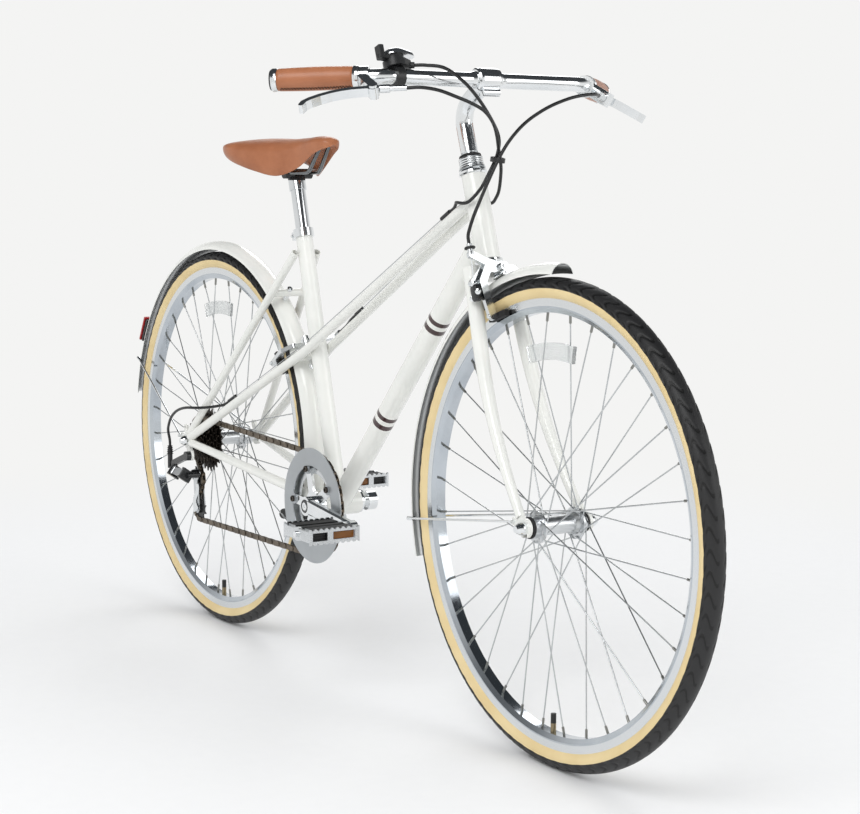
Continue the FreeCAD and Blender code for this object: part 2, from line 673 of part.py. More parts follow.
def axle_set(axle, hub_width, plate, left_end, right_end):
    """Threaded axle with locknuts that space the hub and domed nuts outside the plates."""
    face = hub_width / 2
    nut = face + plate
    crest = nut + AXLE_NUT_LENGTH
    end = crest + AXLE_TAIL
    locknut = AXLE_NUT_RADIUS - 1
    thread = AXLE_RADIUS
    outline = [(0, -end), (thread, -end), (locknut, -crest), (AXLE_NUT_RADIUS, -crest + 3),
               (AXLE_NUT_RADIUS, -nut), (thread, -nut), (thread, -face), (locknut, -face),
               (locknut, -right_end - SEATED_GAP), (thread, -right_end - SEATED_GAP),
               (thread, left_end + SEATED_GAP), (locknut, left_end + SEATED_GAP), (locknut, face),
               (thread, face), (thread, nut), (AXLE_NUT_RADIUS, nut), (AXLE_NUT_RADIUS, crest - 3),
               (locknut, crest), (thread, end), (0, end)]
    return turned(outline, axle)


def wheel_reflector(axle, left_flange, right_flange):
    """Reflector held between the spokes of both flanges."""
    outer = REFLECTOR_RADIUS + REFLECTOR_HEIGHT / 2
    inner = REFLECTOR_RADIUS - REFLECTOR_HEIGHT / 2
    share = (RIM_BED_RADIUS - outer) / (RIM_BED_RADIUS - SPOKE_CIRCLE_RADIUS)
    clear = SPOKE_RADIUS + SEATED_GAP
    left = spoke_seat(left_flange, True) * share - clear
    right = spoke_seat(right_flange, True) * share - clear
    outline = [(inner, -right), (outer, -right), (outer, left), (inner, left)]
    start = beside(axle, 0, 0)
    way = direction(REFLECTOR_ANGLE + REFLECTOR_SPAN / 2)
    points = [start + way * r + Y_AXIS * y for r, y in outline]
    return Part.Face(Part.makePolygon(points + points[:1])).revolve(axle, Y_AXIS, REFLECTOR_SPAN)


# Headset, fork, stem and handlebar

def headset_cups():
    """Cups pressed into both ends of the head tube."""
    bore = STEERER_RADIUS + HEADSET_GAP
    low = [(bore, -CUP_HEIGHT), (CUP_RADIUS - 2, -CUP_HEIGHT), (CUP_RADIUS, -CUP_HEIGHT + 4),
           (CUP_RADIUS, -2), (HEAD_TUBE_RADIUS, 0), (bore, 0)]
    lower = turned(low, steer(FORK_LENGTH), STEER_UP, STEER_FORWARD)
    upper = turned([(r, -h) for r, h in low], steer(HEAD_TOP), STEER_UP, STEER_FORWARD)
    return [lower, upper]


def bracket_cups():
    """Bearing cups of the bottom bracket, screwed into the shell from both sides."""
    bore = SPINDLE_RADIUS + RUNNING_FIT
    depth = 14.0
    flange = 4.0
    outline = [(bore, -depth), (SHELL_BORE, -depth), (SHELL_BORE, 0), (SHELL_RADIUS - 1, 0),
               (SHELL_RADIUS - 1, flange), (bore, flange)]
    left = turned(outline, BRACKET + Y_AXIS * (SHELL_WIDTH / 2))
    right = turned([(r, -h) for r, h in outline], BRACKET - Y_AXIS * (SHELL_WIDTH / 2))
    return [left, right]


def bearing_cups():
    """Fixed cups of the headset and of the bottom bracket."""
    return Part.makeCompound(headset_cups() + bracket_cups())


def headset_nuts():
    """Adjusting race and locknut on top of the upper cup."""
    base = HEAD_TOP + CUP_HEIGHT + HEADSET_GAP
    race_top = TOP_RACE_HEIGHT
    bore = STEERER_RADIUS
    radius = LOCKNUT_RADIUS
    race = turned([(bore, 0), (CUP_RADIUS - 1, 0), (radius, race_top - 2), (radius, race_top),
                   (bore, race_top)],
                  steer(base), STEER_UP, STEER_FORWARD)
    nut_base = base + race_top
    top = LOCKNUT_HEIGHT
    lip = QUILL_RADIUS + RUNNING_FIT
    thread_top = HEAD_TOP + STEERER_TOP - nut_base
    nut = turned([(bore, 0), (radius, 0), (radius, top - 2), (radius - 3, top), (lip, top),
                  (lip, thread_top),
                  (bore, thread_top)],
                 steer(nut_base), STEER_UP, STEER_FORWARD)
    return Part.makeCompound([race, nut])


BLADE_SHARES = (1.0, 0.8, 0.56, 0.34, 0.17, 0.045)


def blade_loft(side, skin):
    """Tapered fork blade, straight below the crown and raked forward at its tip."""
    top = CROWN_TOP - 6
    tip_offset = (FRONT_HUB_WIDTH + DROPOUT_THICKNESS) / 2
    sections = []
    for share in BLADE_SHARES:
        along = top * share
        bow = max(0.0, 1 - share / 0.62)
        forward = FORK_RAKE * 0.97 * bow ** 1.8
        left = tip_offset + (BLADE_OFFSET_TOP - tip_offset) * share
        radius = BLADE_RADIUS_TIP + (BLADE_RADIUS_TOP - BLADE_RADIUS_TIP) * min(1.0, share * 1.35)
        centre = steer(along, forward, side * left)
        slope = FORK_RAKE * 0.97 * 1.8 * bow ** 0.8 / (0.62 * top)
        way = (STEER_UP - STEER_FORWARD * slope).normalize()
        sections.append(Part.Wire(Part.makeCircle(radius - skin, centre, way)))
    return Part.makeLoft(sections, True, False)


def fork_end(side):
    """Flat tip of a fork blade with the axle slot and an eyelet."""
    thickness = DROPOUT_THICKNESS
    near = Vector(0, 0, 0)
    stem = STEER_UP * 26 - STEER_FORWARD * 9
    eyelet = direction(FENDER_EYELET_ANGLE) * EYELET_REACH
    plate = fused([Part.makeCylinder(DROPOUT_RADIUS - 3, thickness),
                   bar([near, Vector(stem.x, stem.z, 0)], DROPOUT_ARM_RADIUS, 0, thickness),
                   bar([near, Vector(eyelet.x, eyelet.z, 0)], EYELET_RADIUS, 0, thickness)])
    plate = plate.cut(bar([near, Vector(6, -2 * DROPOUT_RADIUS, 0)], AXLE_RADIUS + RUNNING_FIT, -1,
                          thickness + 1))
    plate = plate.cut(Part.makeCylinder(EYELET_BORE, thickness, Vector(eyelet.x, eyelet.z, 0)))
    far = FRONT_HUB_WIDTH / 2 + thickness if side > 0 else -FRONT_HUB_WIDTH / 2
    return placed(plate, FRONT_AXLE + Y_AXIS * far, X_AXIS, Z_AXIS)


def fork():
    """Fork: steerer, lugged crown, two blades and their ends."""
    bore_top = steer(HEAD_TOP + STEERER_TOP)
    steerer = tube(steer(CROWN_TOP - 4), bore_top, STEERER_RADIUS, STEERER_BORE)
    crown_race = tube(steer(CROWN_TOP - 4), steer(CROWN_TOP), STEERER_RADIUS + 3.7, STEERER_RADIUS)
    blades = []
    ends = []
    sockets = []
    blade_way = STEER_UP
    for side in (-1, 1):
        end = fork_end(side)
        whole = blade_loft(side, 0)
        blades.append(largest(whole.cut(blade_loft(side, BLADE_WALL)).cut(end)))
        ends.append(end)
        top = steer(CROWN_TOP - 2, 0, side * (BLADE_OFFSET_TOP - 1))
        sockets.append(rod(top - blade_way * SOCKET_LENGTH, top, SOCKET_RADIUS))
    half_width = BLADE_OFFSET_TOP
    half_depth = CROWN_DEPTH / 2
    corner = [steer(CROWN_LOW, forward, -half_width) for forward in (-half_depth, half_depth)]
    corner += [steer(CROWN_TOP - 4, forward, -half_width) for forward in (half_depth, -half_depth)]
    bridge = extruded(corner, Y_AXIS * (2 * half_width))
    crown = fused([bridge, crown_race] + sockets)
    for side in (-1, 1):
        crown = crown.cut(blade_loft(side, 0))
    crown = crown.cut(rod(steer(CROWN_TOP - 4), steer(CROWN_TOP + 1), STEERER_RADIUS))
    crown = crown.cut(rod(FRONT_BRAKE - STEER_FORWARD * 40, FRONT_BRAKE + STEER_FORWARD * 40,
                          BRAKE_BOLT_RADIUS + RUNNING_FIT))
    return Part.makeCompound([steerer, largest(crown)] + blades + ends)


STEM_BASE = HEAD_TOP + STEERER_TOP + 4
STEM_CORNER = steer(STEM_BASE + STEM_RISE - 30)
BAR_CENTRE = STEM_CORNER + Vector(CLAMP_FORWARD, 0, CLAMP_RISE)


def stem():
    """Quill stem: the quill wedged in the steerer, the neck and the handlebar clamp."""
    quill = rod(steer(HEAD_TOP + STEERER_TOP - QUILL_DEPTH), steer(STEM_BASE), QUILL_RADIUS)
    neck = bent_rod([steer(STEM_BASE), STEM_CORNER, BAR_CENTRE], [STEM_BEND], STEM_RADIUS)
    half = Y_AXIS * (CLAMP_WIDTH / 2)
    edge = CLAMP_WIDTH / 2
    barrel = [(0, -edge), (CLAMP_RADIUS - 3, -edge), (CLAMP_RADIUS - 0.8, -edge + 2),
              (CLAMP_RADIUS, -edge + 6),
              (CLAMP_RADIUS, edge - 6), (CLAMP_RADIUS - 0.8, edge - 2), (CLAMP_RADIUS - 3, edge), (0, edge)]
    clamp = turned(barrel, BAR_CENTRE, Y_AXIS, X_AXIS)
    way = (STEM_CORNER - BAR_CENTRE).normalize()
    down = Vector(way.z, 0, -way.x)
    if down.z > 0:
        down = down * -1
    lug = BAR_CENTRE + down * (CLAMP_RADIUS + 3)
    pinch = rod(lug - half * 0.7, lug + half * 0.7, 6)
    body = fused([quill, neck, clamp, pinch])
    slit = Part.makeBox(1.5, CLAMP_WIDTH + 2, CLAMP_RADIUS * 2, Vector(-0.75, -CLAMP_WIDTH / 2 - 1, 0))
    slit = placed(slit, BAR_CENTRE, down.cross(Y_AXIS) * -1, Y_AXIS)
    sleeve = rod(BAR_CENTRE - half * 2, BAR_CENTRE + half * 2, BAR_SLEEVE_RADIUS)
    return largest(body.cut(sleeve).cut(slit))


def bar_points(side):
    """Corner points of one half of the handlebar."""
    corner = BAR_CENTRE + Y_AXIS * (side * BAR_STRAIGHT)
    end = BAR_CENTRE + Vector(-BAR_SWEEP_BACK, side * BAR_HALF_WIDTH, -BAR_DROP)
    return corner, end


def handlebar():
    """Swept handlebar, thicker in the stem clamp."""
    right_corner, right_end = bar_points(-1)
    left_corner, left_end = bar_points(1)
    route = [right_end, right_corner, left_corner, left_end]
    bends = [BAR_BEND, BAR_BEND]
    body = bent_rod(route, bends, BAR_RADIUS)
    edge = BAR_SLEEVE_WIDTH / 2
    flat = CLAMP_WIDTH / 2 + 2
    inner = BAR_RADIUS - 0.3
    swell = [(0, -edge), (inner, -edge), (BAR_SLEEVE_RADIUS, -flat), (BAR_SLEEVE_RADIUS, flat),
             (inner, edge), (0, edge)]
    sleeve = turned(swell, BAR_CENTRE, Y_AXIS, X_AXIS)
    return body.fuse(sleeve).cut(bent_rod(route, bends, BAR_RADIUS - BAR_WALL)).removeSplitter()


class GripFrame:
    """Directions at one grip: along the bar outwards, and towards the brake lever."""

    LEVER_TILT = 30.0

    def __init__(self, side):
        corner, end = bar_points(side)
        self.side = side
        self.corner = corner
        self.end = end
        self.along = (end - corner).normalize()
        ahead = self.along.cross(Z_AXIS).normalize()
        if ahead.x < 0:
            ahead = ahead * -1
        tilt = math.radians(self.LEVER_TILT)
        flat = ahead * math.cos(tilt) - Z_AXIS * math.sin(tilt)
        self.lever = (flat - self.along * flat.dot(self.along)).normalize()
        self.hinge = self.along.cross(self.lever)

    def put(self, shape):
        """Place a shape drawn with X along the grip and Y towards the lever."""
        return placed(shape, self.corner, self.along, self.lever)

    def point(self, along, lever, hinge=0.0):
        """Point given in this frame."""
        return self.corner + self.along * along + self.lever * lever + self.hinge * hinge


GRIP_FRAMES = {-1: GripFrame(-1), 1: GripFrame(1)}
GRIP_START = (GRIP_FRAMES[1].end - GRIP_FRAMES[1].corner).Length - GRIP_LENGTH
LEVER_CLAMP_WIDTH = 14.0
LEVER_PIVOT = (8.0, 44.0)
LEVER_BENDS = ((0, 0), (15, 0.5), (30, 2), (44, 5.5), (58, 11), (72, 19), (84, 28), (91, 36), (93, 44))
LEVER_BARREL_DROP = 6.0
LEVER_BARREL_END = -22.0
LEVER_ADJUSTER_END = -46.0
LEVER_BLADE = 13.0
LEVER_PIN_RADIUS = 3.0


def grip(side):
    """Ribless leather-look grip, swollen in the middle, with a collar at each end."""
    place = GRIP_FRAMES[side]
    length = GRIP_LENGTH
    radius = GRIP_RADIUS
    bore = BAR_RADIUS + RUNNING_FIT
    end_cap = 4.0
    outline = [(bore, 0), (radius - 1, 0), (radius - 1, 6), (radius - 0.5, 8), (radius + 1, length * 0.4),
               (radius + 1, length * 0.6), (radius - 0.5, length - 8), (radius, length - 7),
               (radius, length),
               (radius - 2, length + end_cap), (0, length + end_cap), (0, length + RUNNING_FIT),
               (bore, length + RUNNING_FIT)]
    return turned(outline, place.point(GRIP_START, 0), place.along, place.lever)


def lever_bracket(side):
    """Clamp of a brake lever: ring on the bar, two cheeks for the lever pin and a cable adjuster."""
    place = GRIP_FRAMES[side]
    high = GRIP_START - SEATED_GAP
    low = high - LEVER_CLAMP_WIDTH
    ring = rod(Vector(low, 0, 0), Vector(high, 0, 0), BAR_RADIUS + 4)
    pivot = Vector(LEVER_PIVOT[0], LEVER_PIVOT[1], 0)
    cheek = LEVER_BLADE / 2 + 4
    middle = Vector((low + high) / 2, BAR_RADIUS + 4, 0)
    body = bar([middle, pivot], 6.5, -cheek, cheek)
    slot = LEVER_BLADE / 2 + SEATED_GAP
    mouth = fused([bar([pivot, pivot + Vector(60, rise, 0)], 9, -slot, slot) for rise in (10, -14)])
    foot = pivot - Y_AXIS * LEVER_BARREL_DROP
    boss = rod(foot + X_AXIS * 6, foot + X_AXIS * LEVER_BARREL_END, 6)
    adjuster = rod(foot + X_AXIS * LEVER_BARREL_END, foot + X_AXIS * LEVER_ADJUSTER_END, 4)
    whole = fused([ring, body, boss, adjuster]).cut(mouth)
    pin = rod(pivot - Z_AXIS * cheek, pivot + Z_AXIS * cheek, LEVER_PIN_RADIUS)
    whole = whole.fuse(pin).removeSplitter()
    whole = whole.cut(rod(Vector(low - 20, 0, 0), Vector(high + 20, 0, 0), BAR_RADIUS + RUNNING_FIT))
    return place.put(largest(whole))


def brake_lever(side):
    """Lever blade: along the grip at first, then sweeping away from it to a bent tip, drilled for its pin."""
    place = GRIP_FRAMES[side]
    pivot = Vector(LEVER_PIVOT[0], LEVER_PIVOT[1], 0)
    route = [pivot + Vector(along, away, 0) for along, away in LEVER_BENDS]
    half = LEVER_BLADE / 2
    blade = bar(route, 4, -half, half)
    boss = Part.makeCylinder(8, LEVER_BLADE, pivot - Z_AXIS * half)
    hole = Part.makeCylinder(LEVER_PIN_RADIUS + RUNNING_FIT, 2 * LEVER_BLADE, pivot - Z_AXIS * LEVER_BLADE)
    return place.put(blade.fuse(boss).cut(hole).removeSplitter())


SHIFTER_LEFT = -150.0
SHIFTER_TILT = 20.0
SHIFTER_UP = direction(90 + SHIFTER_TILT)
SHIFTER_RING = BAR_RADIUS + 4
SHIFTER_RADIUS = 17.0
SHIFTER_TAIL_RADIUS = 8.0
SHIFTER_TAIL_REACH = 18.0
SHIFTER_BASE_HEIGHT = 10.0
SHIFTER_DOME_HEIGHT = 8.0
SHIFTER_DOME_SPHERE = 40.0
SHIFTER_EXIT_WAY = Vector(0.6, 0.8, 0)
SHIFTER_EXIT_LENGTH = 12.0
SHIFT_DISC_RADIUS = 14.0
SHIFT_DISC_HEIGHT = 6.0
SHIFT_PADDLE_REACH = 25.0
SHIFT_PADDLE_HEIGHT = 19.0
SHIFTER_CENTRE = BAR_CENTRE + Y_AXIS * SHIFTER_LEFT
SHIFT_PIN_RADIUS = 4.0


def shifter_level(height):
    """Point on the shifter's axis above the handlebar's skin."""
    return SHIFTER_CENTRE + SHIFTER_UP * (BAR_RADIUS + 2 + height)


def shifter_exit():
    """End of the shifter's cable boss."""
    tail = shifter_level(SHIFTER_BASE_HEIGHT / 2) + Y_AXIS * SHIFTER_TAIL_REACH
    return tail + SHIFTER_EXIT_WAY * SHIFTER_EXIT_LENGTH


def drop_plate(radius, height):
    """Flat drop on the shifter's axis: a large round joined to the smaller one of its tail by tangents."""
    lean = math.acos((radius - SHIFTER_TAIL_RADIUS) / SHIFTER_TAIL_REACH)
    side = Vector(math.cos(lean), math.sin(lean), 0)
    mirrored = Vector(side.x, -side.y, 0)
    tail = X_AXIS * SHIFTER_TAIL_REACH
    corners = [side * radius, tail + side * SHIFTER_TAIL_RADIUS, tail + mirrored * SHIFTER_TAIL_RADIUS,
               mirrored * radius]
    rounds = [Part.makeCylinder(radius, height), Part.makeCylinder(SHIFTER_TAIL_RADIUS, height, tail)]
    return fused(rounds + [extruded(corners, Z_AXIS * height)])


def shifter_body():
    """Thumb shifter's clamp and base, its pin and the drop-shaped dome over the lever's disc."""
    half = Y_AXIS * 6.5
    ring = rod(SHIFTER_CENTRE - half, SHIFTER_CENTRE + half, SHIFTER_RING)
    forward = SHIFTER_UP.cross(Y_AXIS)
    base = placed(drop_plate(SHIFTER_RADIUS, SHIFTER_BASE_HEIGHT), shifter_level(0), Y_AXIS, forward)
    boss = rod(shifter_exit() - SHIFTER_EXIT_WAY * SHIFTER_EXIT_LENGTH, shifter_exit(), 4.5)
    disc_top = SHIFTER_BASE_HEIGHT + SHIFT_DISC_HEIGHT + 2 * SEATED_GAP
    pin = rod(shifter_level(SHIFTER_BASE_HEIGHT), shifter_level(disc_top + 1), SHIFT_PIN_RADIUS)
    ball = Part.makeSphere(SHIFTER_DOME_SPHERE,
                           Vector(SHIFTER_TAIL_REACH / 3, 0, SHIFTER_DOME_HEIGHT - SHIFTER_DOME_SPHERE))
    dome = drop_plate(SHIFTER_RADIUS - 1, SHIFTER_DOME_HEIGHT).common(ball)
    dome = placed(dome, shifter_level(disc_top), Y_AXIS, forward)
    whole = fused([ring, base, boss, pin, dome])
    return largest(whole.cut(rod(SHIFTER_CENTRE - half * 4, SHIFTER_CENTRE + half * 4,
                                 BAR_RADIUS + RUNNING_FIT)))


def shift_lever():
    """Thumb lever: a drilled disc with an arm and a raised paddle."""
    low = SHIFTER_BASE_HEIGHT + SEATED_GAP
    end = Vector(SHIFT_PADDLE_REACH, 6, 0)
    disc = bar([Vector(0, 0, 0), end], 6, 0, SHIFT_DISC_HEIGHT)
    disc = disc.fuse(Part.makeCylinder(SHIFT_DISC_RADIUS, SHIFT_DISC_HEIGHT))
    paddle = Part.makeCylinder(7, SHIFT_PADDLE_HEIGHT, end)
    paddle = paddle.common(Part.makeBox(8, 40, 40, end - Vector(4, 20, 0)))
    whole = disc.fuse(paddle).cut(Part.makeCylinder(SHIFT_PIN_RADIUS + RUNNING_FIT, SHIFT_DISC_HEIGHT))
    outward = Y_AXIS * -1
    return placed(whole.removeSplitter(), shifter_level(low), outward, SHIFTER_UP.cross(outward))


# Seat

def seat_collar():
    """Split collar round the top of the seat tube, and its bolt at the back."""
    low = seat(SEAT_TUBE_LENGTH - COLLAR_HEIGHT)
    high = seat(SEAT_TUBE_LENGTH)
    radius = SEAT_TUBE_RADIUS + RUNNING_FIT
    back = SEAT_UP.cross(Y_AXIS)
    if back.x > 0:
        back = back * -1
    ring = tube(low, high, radius + COLLAR_WALL, radius)
    depth = radius + COLLAR_WALL + 9
    lug = Part.makeBox(depth, 18, COLLAR_HEIGHT, Vector(0, -9, 0))
    lug = placed(lug, low, back, Y_AXIS * -1)
    collar = largest(ring.fuse(lug).cut(rod(low - SEAT_UP * 9, high + SEAT_UP * 9, radius)))
    middle = seat(SEAT_TUBE_LENGTH - COLLAR_HEIGHT / 2) + back * (radius + COLLAR_WALL + 4)
    bolt = rod(middle - Y_AXIS * 13, middle + Y_AXIS * 9, 2.5)
    head = rod(middle + Y_AXIS * 9, middle + Y_AXIS * 13, 4.5)
    hole = rod(middle - Y_AXIS * 13, middle + Y_AXIS * 9, 2.5)
    slit = Part.makeBox(2 * depth, 2, 2 * COLLAR_HEIGHT, Vector(radius / 2, -1, -COLLAR_HEIGHT / 2))
    slit = placed(slit, low, back, Y_AXIS * -1)
    return Part.makeCompound([largest(collar.cut(hole).cut(slit)), bolt.fuse(head).removeSplitter()])


POST_TOP = SEAT_TUBE_LENGTH + POST_RISE
SADDLE_TOP = seat(POST_TOP).z + SADDLE_RISE
RAIL_HEIGHT = 20.5
CLAMP_HALF = RAIL_OFFSET + RAIL_RADIUS + 2.5


def rail_level():
    """Height of the saddle rails where the clamp holds them."""
    return seat(POST_TOP).z + RAIL_HEIGHT


def seat_post():
    """Hollow seat post with its rail clamp at the top."""
    low = seat(SEAT_TUBE_LENGTH - POST_INSERTION)
    high = seat(POST_TOP)
    post = rod(low, high, POST_RADIUS)
    level = rail_level()
    centre = Vector(high.x, 0, level)
    head = rod(seat(POST_TOP - 10), seat(POST_TOP + RAIL_HEIGHT - 6), POST_RADIUS + 2)
    yoke = rod(centre - Y_AXIS * CLAMP_HALF - Z_AXIS * 2, centre + Y_AXIS * CLAMP_HALF - Z_AXIS * 2, 8.5)
    whole = fused([post, head, yoke]).cut(rod(low, seat(POST_TOP - 20), POST_RADIUS - POST_WALL))
    for side in (-1, 1):
        near = centre + Y_AXIS * (side * RAIL_OFFSET)
        whole = whole.cut(rod(near - X_AXIS * 40, near + X_AXIS * 40, RAIL_RADIUS + RUNNING_FIT))
    return largest(whole)


SADDLE_REAR = BRACKET.x - SADDLE_SETBACK - SADDLE_LENGTH / 2
SADDLE_STATIONS = (
    (0.00, 0.48, 0.19, 0.47),
    (0.05, 0.79, 0.11, 0.50),
    (0.12, 0.98, 0.05, 0.55),
    (0.24, 1.00, 0.02, 0.69),
    (0.40, 0.81, 0.03, 0.88),
    (0.55, 0.54, 0.05, 1.00),
    (0.72, 0.35, 0.03, 0.80),
    (0.86, 0.28, 0.00, 0.48),
    (0.95, 0.21, 0.03, 0.34),
    (1.00, 0.10, 0.14, 0.30),
)


def saddle():
    """Padded saddle, hollow below: crowned sections with side skirts, lofted from rear to nose."""
    sections = []
    for share, width, sink, depth in SADDLE_STATIONS:
        x = SADDLE_REAR + SADDLE_LENGTH * share
        half = SADDLE_WIDTH / 2 * width
        top = SADDLE_TOP - SADDLE_DEPTH * sink
        low = SADDLE_TOP - SADDLE_DEPTH * depth
        shoulder = top - (top - low) * 0.34
        belly = shoulder - (shoulder - low) * 0.45
        base = half * 0.9
        lip = base * 0.82
        hollow = low + min(lip * 0.78, (top - low) * 0.5)

        def spot(left, height):
            return Vector(x, left, height)

        edges = [Part.LineSegment(spot(lip, low), spot(base, low)).toShape(),
                 Part.Arc(spot(base, low), spot(half * 0.99, belly), spot(half * 0.93, shoulder)).toShape(),
                 Part.Arc(spot(half * 0.93, shoulder), spot(0, top),
                          spot(-half * 0.93, shoulder)).toShape(),
                 Part.Arc(spot(-half * 0.93, shoulder), spot(-half * 0.99, belly),
                          spot(-base, low)).toShape(),
                 Part.LineSegment(spot(-base, low), spot(-lip, low)).toShape(),
                 Part.Arc(spot(-lip, low), spot(0, hollow), spot(lip, low)).toShape()]
        sections.append(Part.Wire(edges))
    return Part.makeLoft(sections, True, False)


def saddle_rails():
    """Two rails under the saddle, level in the clamp and rising into its nose and rear."""
    level = rail_level()
    clamp_x = seat(POST_TOP).x
    padding = saddle()
    rails = []
    for side in (-1, 1):
        left = side * RAIL_OFFSET
        route = [Vector(SADDLE_REAR + SADDLE_LENGTH * 0.12, left * 1.55, level + 42),
                 Vector(clamp_x - 75, left * 1.3, level), Vector(clamp_x - 40, left, level),
                 Vector(clamp_x + 25, left, level), Vector(clamp_x + 58, left * 0.5, level),
                 Vector(SADDLE_REAR + SADDLE_LENGTH * 0.89, left * 0.4, level + 44)]
        rails.append(largest(bent_rod(route, [20, 40, 40, 16], RAIL_RADIUS).cut(padding)))
    return Part.makeCompound(rails)


# Drive

def pitch_radius(teeth):
    """Radius of the circle through the roller centres on a sprocket."""
    return CHAIN_PITCH / (2 * math.sin(math.pi / teeth))


def sprocket(teeth, thickness, bore, phase):
    """Toothed plate about the Z axis, with one roller seat at the phase angle in degrees."""
    pitch = pitch_radius(teeth)
    seat_radius = ROLLER_RADIUS + CHAIN_FIT
    step = 2 * math.pi / teeth
    tip_radius = pitch + 0.28 * CHAIN_PITCH
    edges = []
    start = math.radians(phase)

    def polar(radius, angle):
        return Vector(radius * math.cos(angle), radius * math.sin(angle), 0)

    flank = math.radians(55)
    tip_half = 0.7 / tip_radius
    for index in range(teeth):
        angle = start + index * step
        centre = polar(pitch, angle)
        outward = Vector(math.cos(angle), math.sin(angle), 0)
        side = Vector(-math.sin(angle), math.cos(angle), 0)
        bottom = centre - outward * seat_radius
        left_end = centre - side * (seat_radius * math.sin(flank)) - outward * (seat_radius * math.cos(flank))
        along_side = side * (seat_radius * math.sin(flank))
        right_end = centre + along_side - outward * (seat_radius * math.cos(flank))
        edges.append(Part.Arc(left_end, bottom, right_end).toShape())
        tip_low = polar(tip_radius, angle + step / 2 - tip_half)
        tip_high = polar(tip_radius, angle + step / 2 + tip_half)
        after = start + (index + 1) * step
        next_centre = polar(pitch, after)
        next_out = Vector(math.cos(after), math.sin(after), 0)
        next_side = Vector(-math.sin(after), math.cos(after), 0)
        next_left = next_centre - next_side * (seat_radius * math.sin(flank))
        next_left = next_left - next_out * (seat_radius * math.cos(flank))
        edges.append(Part.LineSegment(right_end, tip_low).toShape())
        edges.append(Part.LineSegment(tip_low, tip_high).toShape())
        edges.append(Part.LineSegment(tip_high, next_left).toShape())
    outline = Part.Face(Part.Wire(edges))
    plate = outline.extrude(Z_AXIS * thickness)
    return plate.cut(Part.makeCylinder(bore, thickness))


def upright(shape, centre, left):
    """Place a plate drawn about the Z axis on an axle, with its lower face at a distance to the left."""
    return placed(shape, Vector(centre.x, left, centre.z), X_AXIS, Z_AXIS)


CHAIN_COG = COG_TEETH[len(COG_TEETH) // 2]
CAGE_PIVOT = REAR_AXLE + Vector(-2.0, 0, -64.0)
GUIDE_ARM = Vector(-11.0, 0, -11.0)
CAGE_LENGTH = 56.0
GUIDE_CENTRE = CAGE_PIVOT + GUIDE_ARM


class ChainRun:
    """Closed chain route round sprockets, measured in pitches.

    Each wheel is a centre, a number of teeth and a turning sense: 1 where the chain runs
    round it from forward towards up, seen from the left of the rider, and -1 the other way.
    """

    def __init__(self, wheels):
        self.parts = []
        self.entries = []
        self.length = 0.0
        count = len(wheels)
        tangents = [self.tangent(wheels[i], wheels[(i + 1) % count]) for i in range(count)]
        for index, (centre, teeth, sense) in enumerate(wheels):
            arrive = tangents[index - 1][1] - centre
            leave = tangents[index][0] - centre
            start = math.atan2(arrive.z, arrive.x)
            turn = (math.atan2(leave.z, leave.x) - start) * sense % (2 * math.pi)
            self.entries.append((self.length, start))
            self.add(turn * teeth / (2 * math.pi), ("arc", centre, teeth, sense, start))
            run = tangents[index][1] - tangents[index][0]
            self.add(run.Length / CHAIN_PITCH, ("line", tangents[index][0], run))

    @staticmethod
    def tangent(first, second):
        """Points where the straight run between two wheels leaves one and meets the other."""
        gap = second[0] - first[0]
        radius_one = pitch_radius(first[1]) * first[2]
        radius_two = pitch_radius(second[1]) * second[2]
        heading = math.atan2(gap.z, gap.x)
        lean = math.asin((radius_one - radius_two) / gap.Length)
        normal_angle = heading - math.pi / 2 + lean
        normal = Vector(math.cos(normal_angle), 0, math.sin(normal_angle))
        return first[0] + normal * radius_one, second[0] + normal * radius_two

    def add(self, pitches, part):
        """Append a stretch of the route."""
        self.parts.append((self.length, pitches, part))
        self.length += pitches

    def point(self, count):
        """Point of the route after a number of pitches."""
        count = count % self.length
        for start, pitches, part in self.parts:
            if count <= start + pitches:
                break
        share = count - start
        if part[0] == "line":
            return part[1] + part[2] * (share / pitches)
        centre, teeth, sense, angle = part[1:]
        angle += sense * share * 2 * math.pi / teeth
        return centre + Vector(math.cos(angle), 0, math.sin(angle)) * pitch_radius(teeth)

    def phase(self, index, teeth, sense):
        """Angle of a roller on one wheel of the route, in degrees."""
        entered, start = self.entries[index]
        ahead = math.ceil(entered) - entered
        return math.degrees(start + sense * ahead * 2 * math.pi / teeth)


def chain_wheels(cage_angle):
    """Wheels of the chain route with the tension pulley at a cage angle in degrees."""
    tension = GUIDE_CENTRE + direction(cage_angle) * CAGE_LENGTH
    return [(BRACKET, RING_TEETH, -1), (tension, PULLEY_TEETH, -1), (GUIDE_CENTRE, PULLEY_TEETH, 1),
            (REAR_AXLE, CHAIN_COG, -1)]


def taut_cage_angle():
    """Cage angle at which the chain has its whole number of pitches."""
    low = -165.0
    high = -60.0
    for _ in range(60):
        middle = (low + high) / 2
        if ChainRun(chain_wheels(middle)).length > CHAIN_LENGTH:
            low = middle
        else:
            high = middle
    return low


CAGE_ANGLE = taut_cage_angle()
CHAIN_WHEELS = chain_wheels(CAGE_ANGLE)
CHAIN_RUN = ChainRun(CHAIN_WHEELS)
TENSION_CENTRE = CHAIN_WHEELS[1][0]


def link_plates(near, far):
    """Pair of round-ended plates of one link, drawn along X, with faces at two distances from the middle."""
    ends = [Vector(0, 0, 0), Vector(CHAIN_PITCH, 0, 0)]
    return [bar(ends, PLATE_RADIUS, near, far), bar(ends, PLATE_RADIUS, -far, -near)]


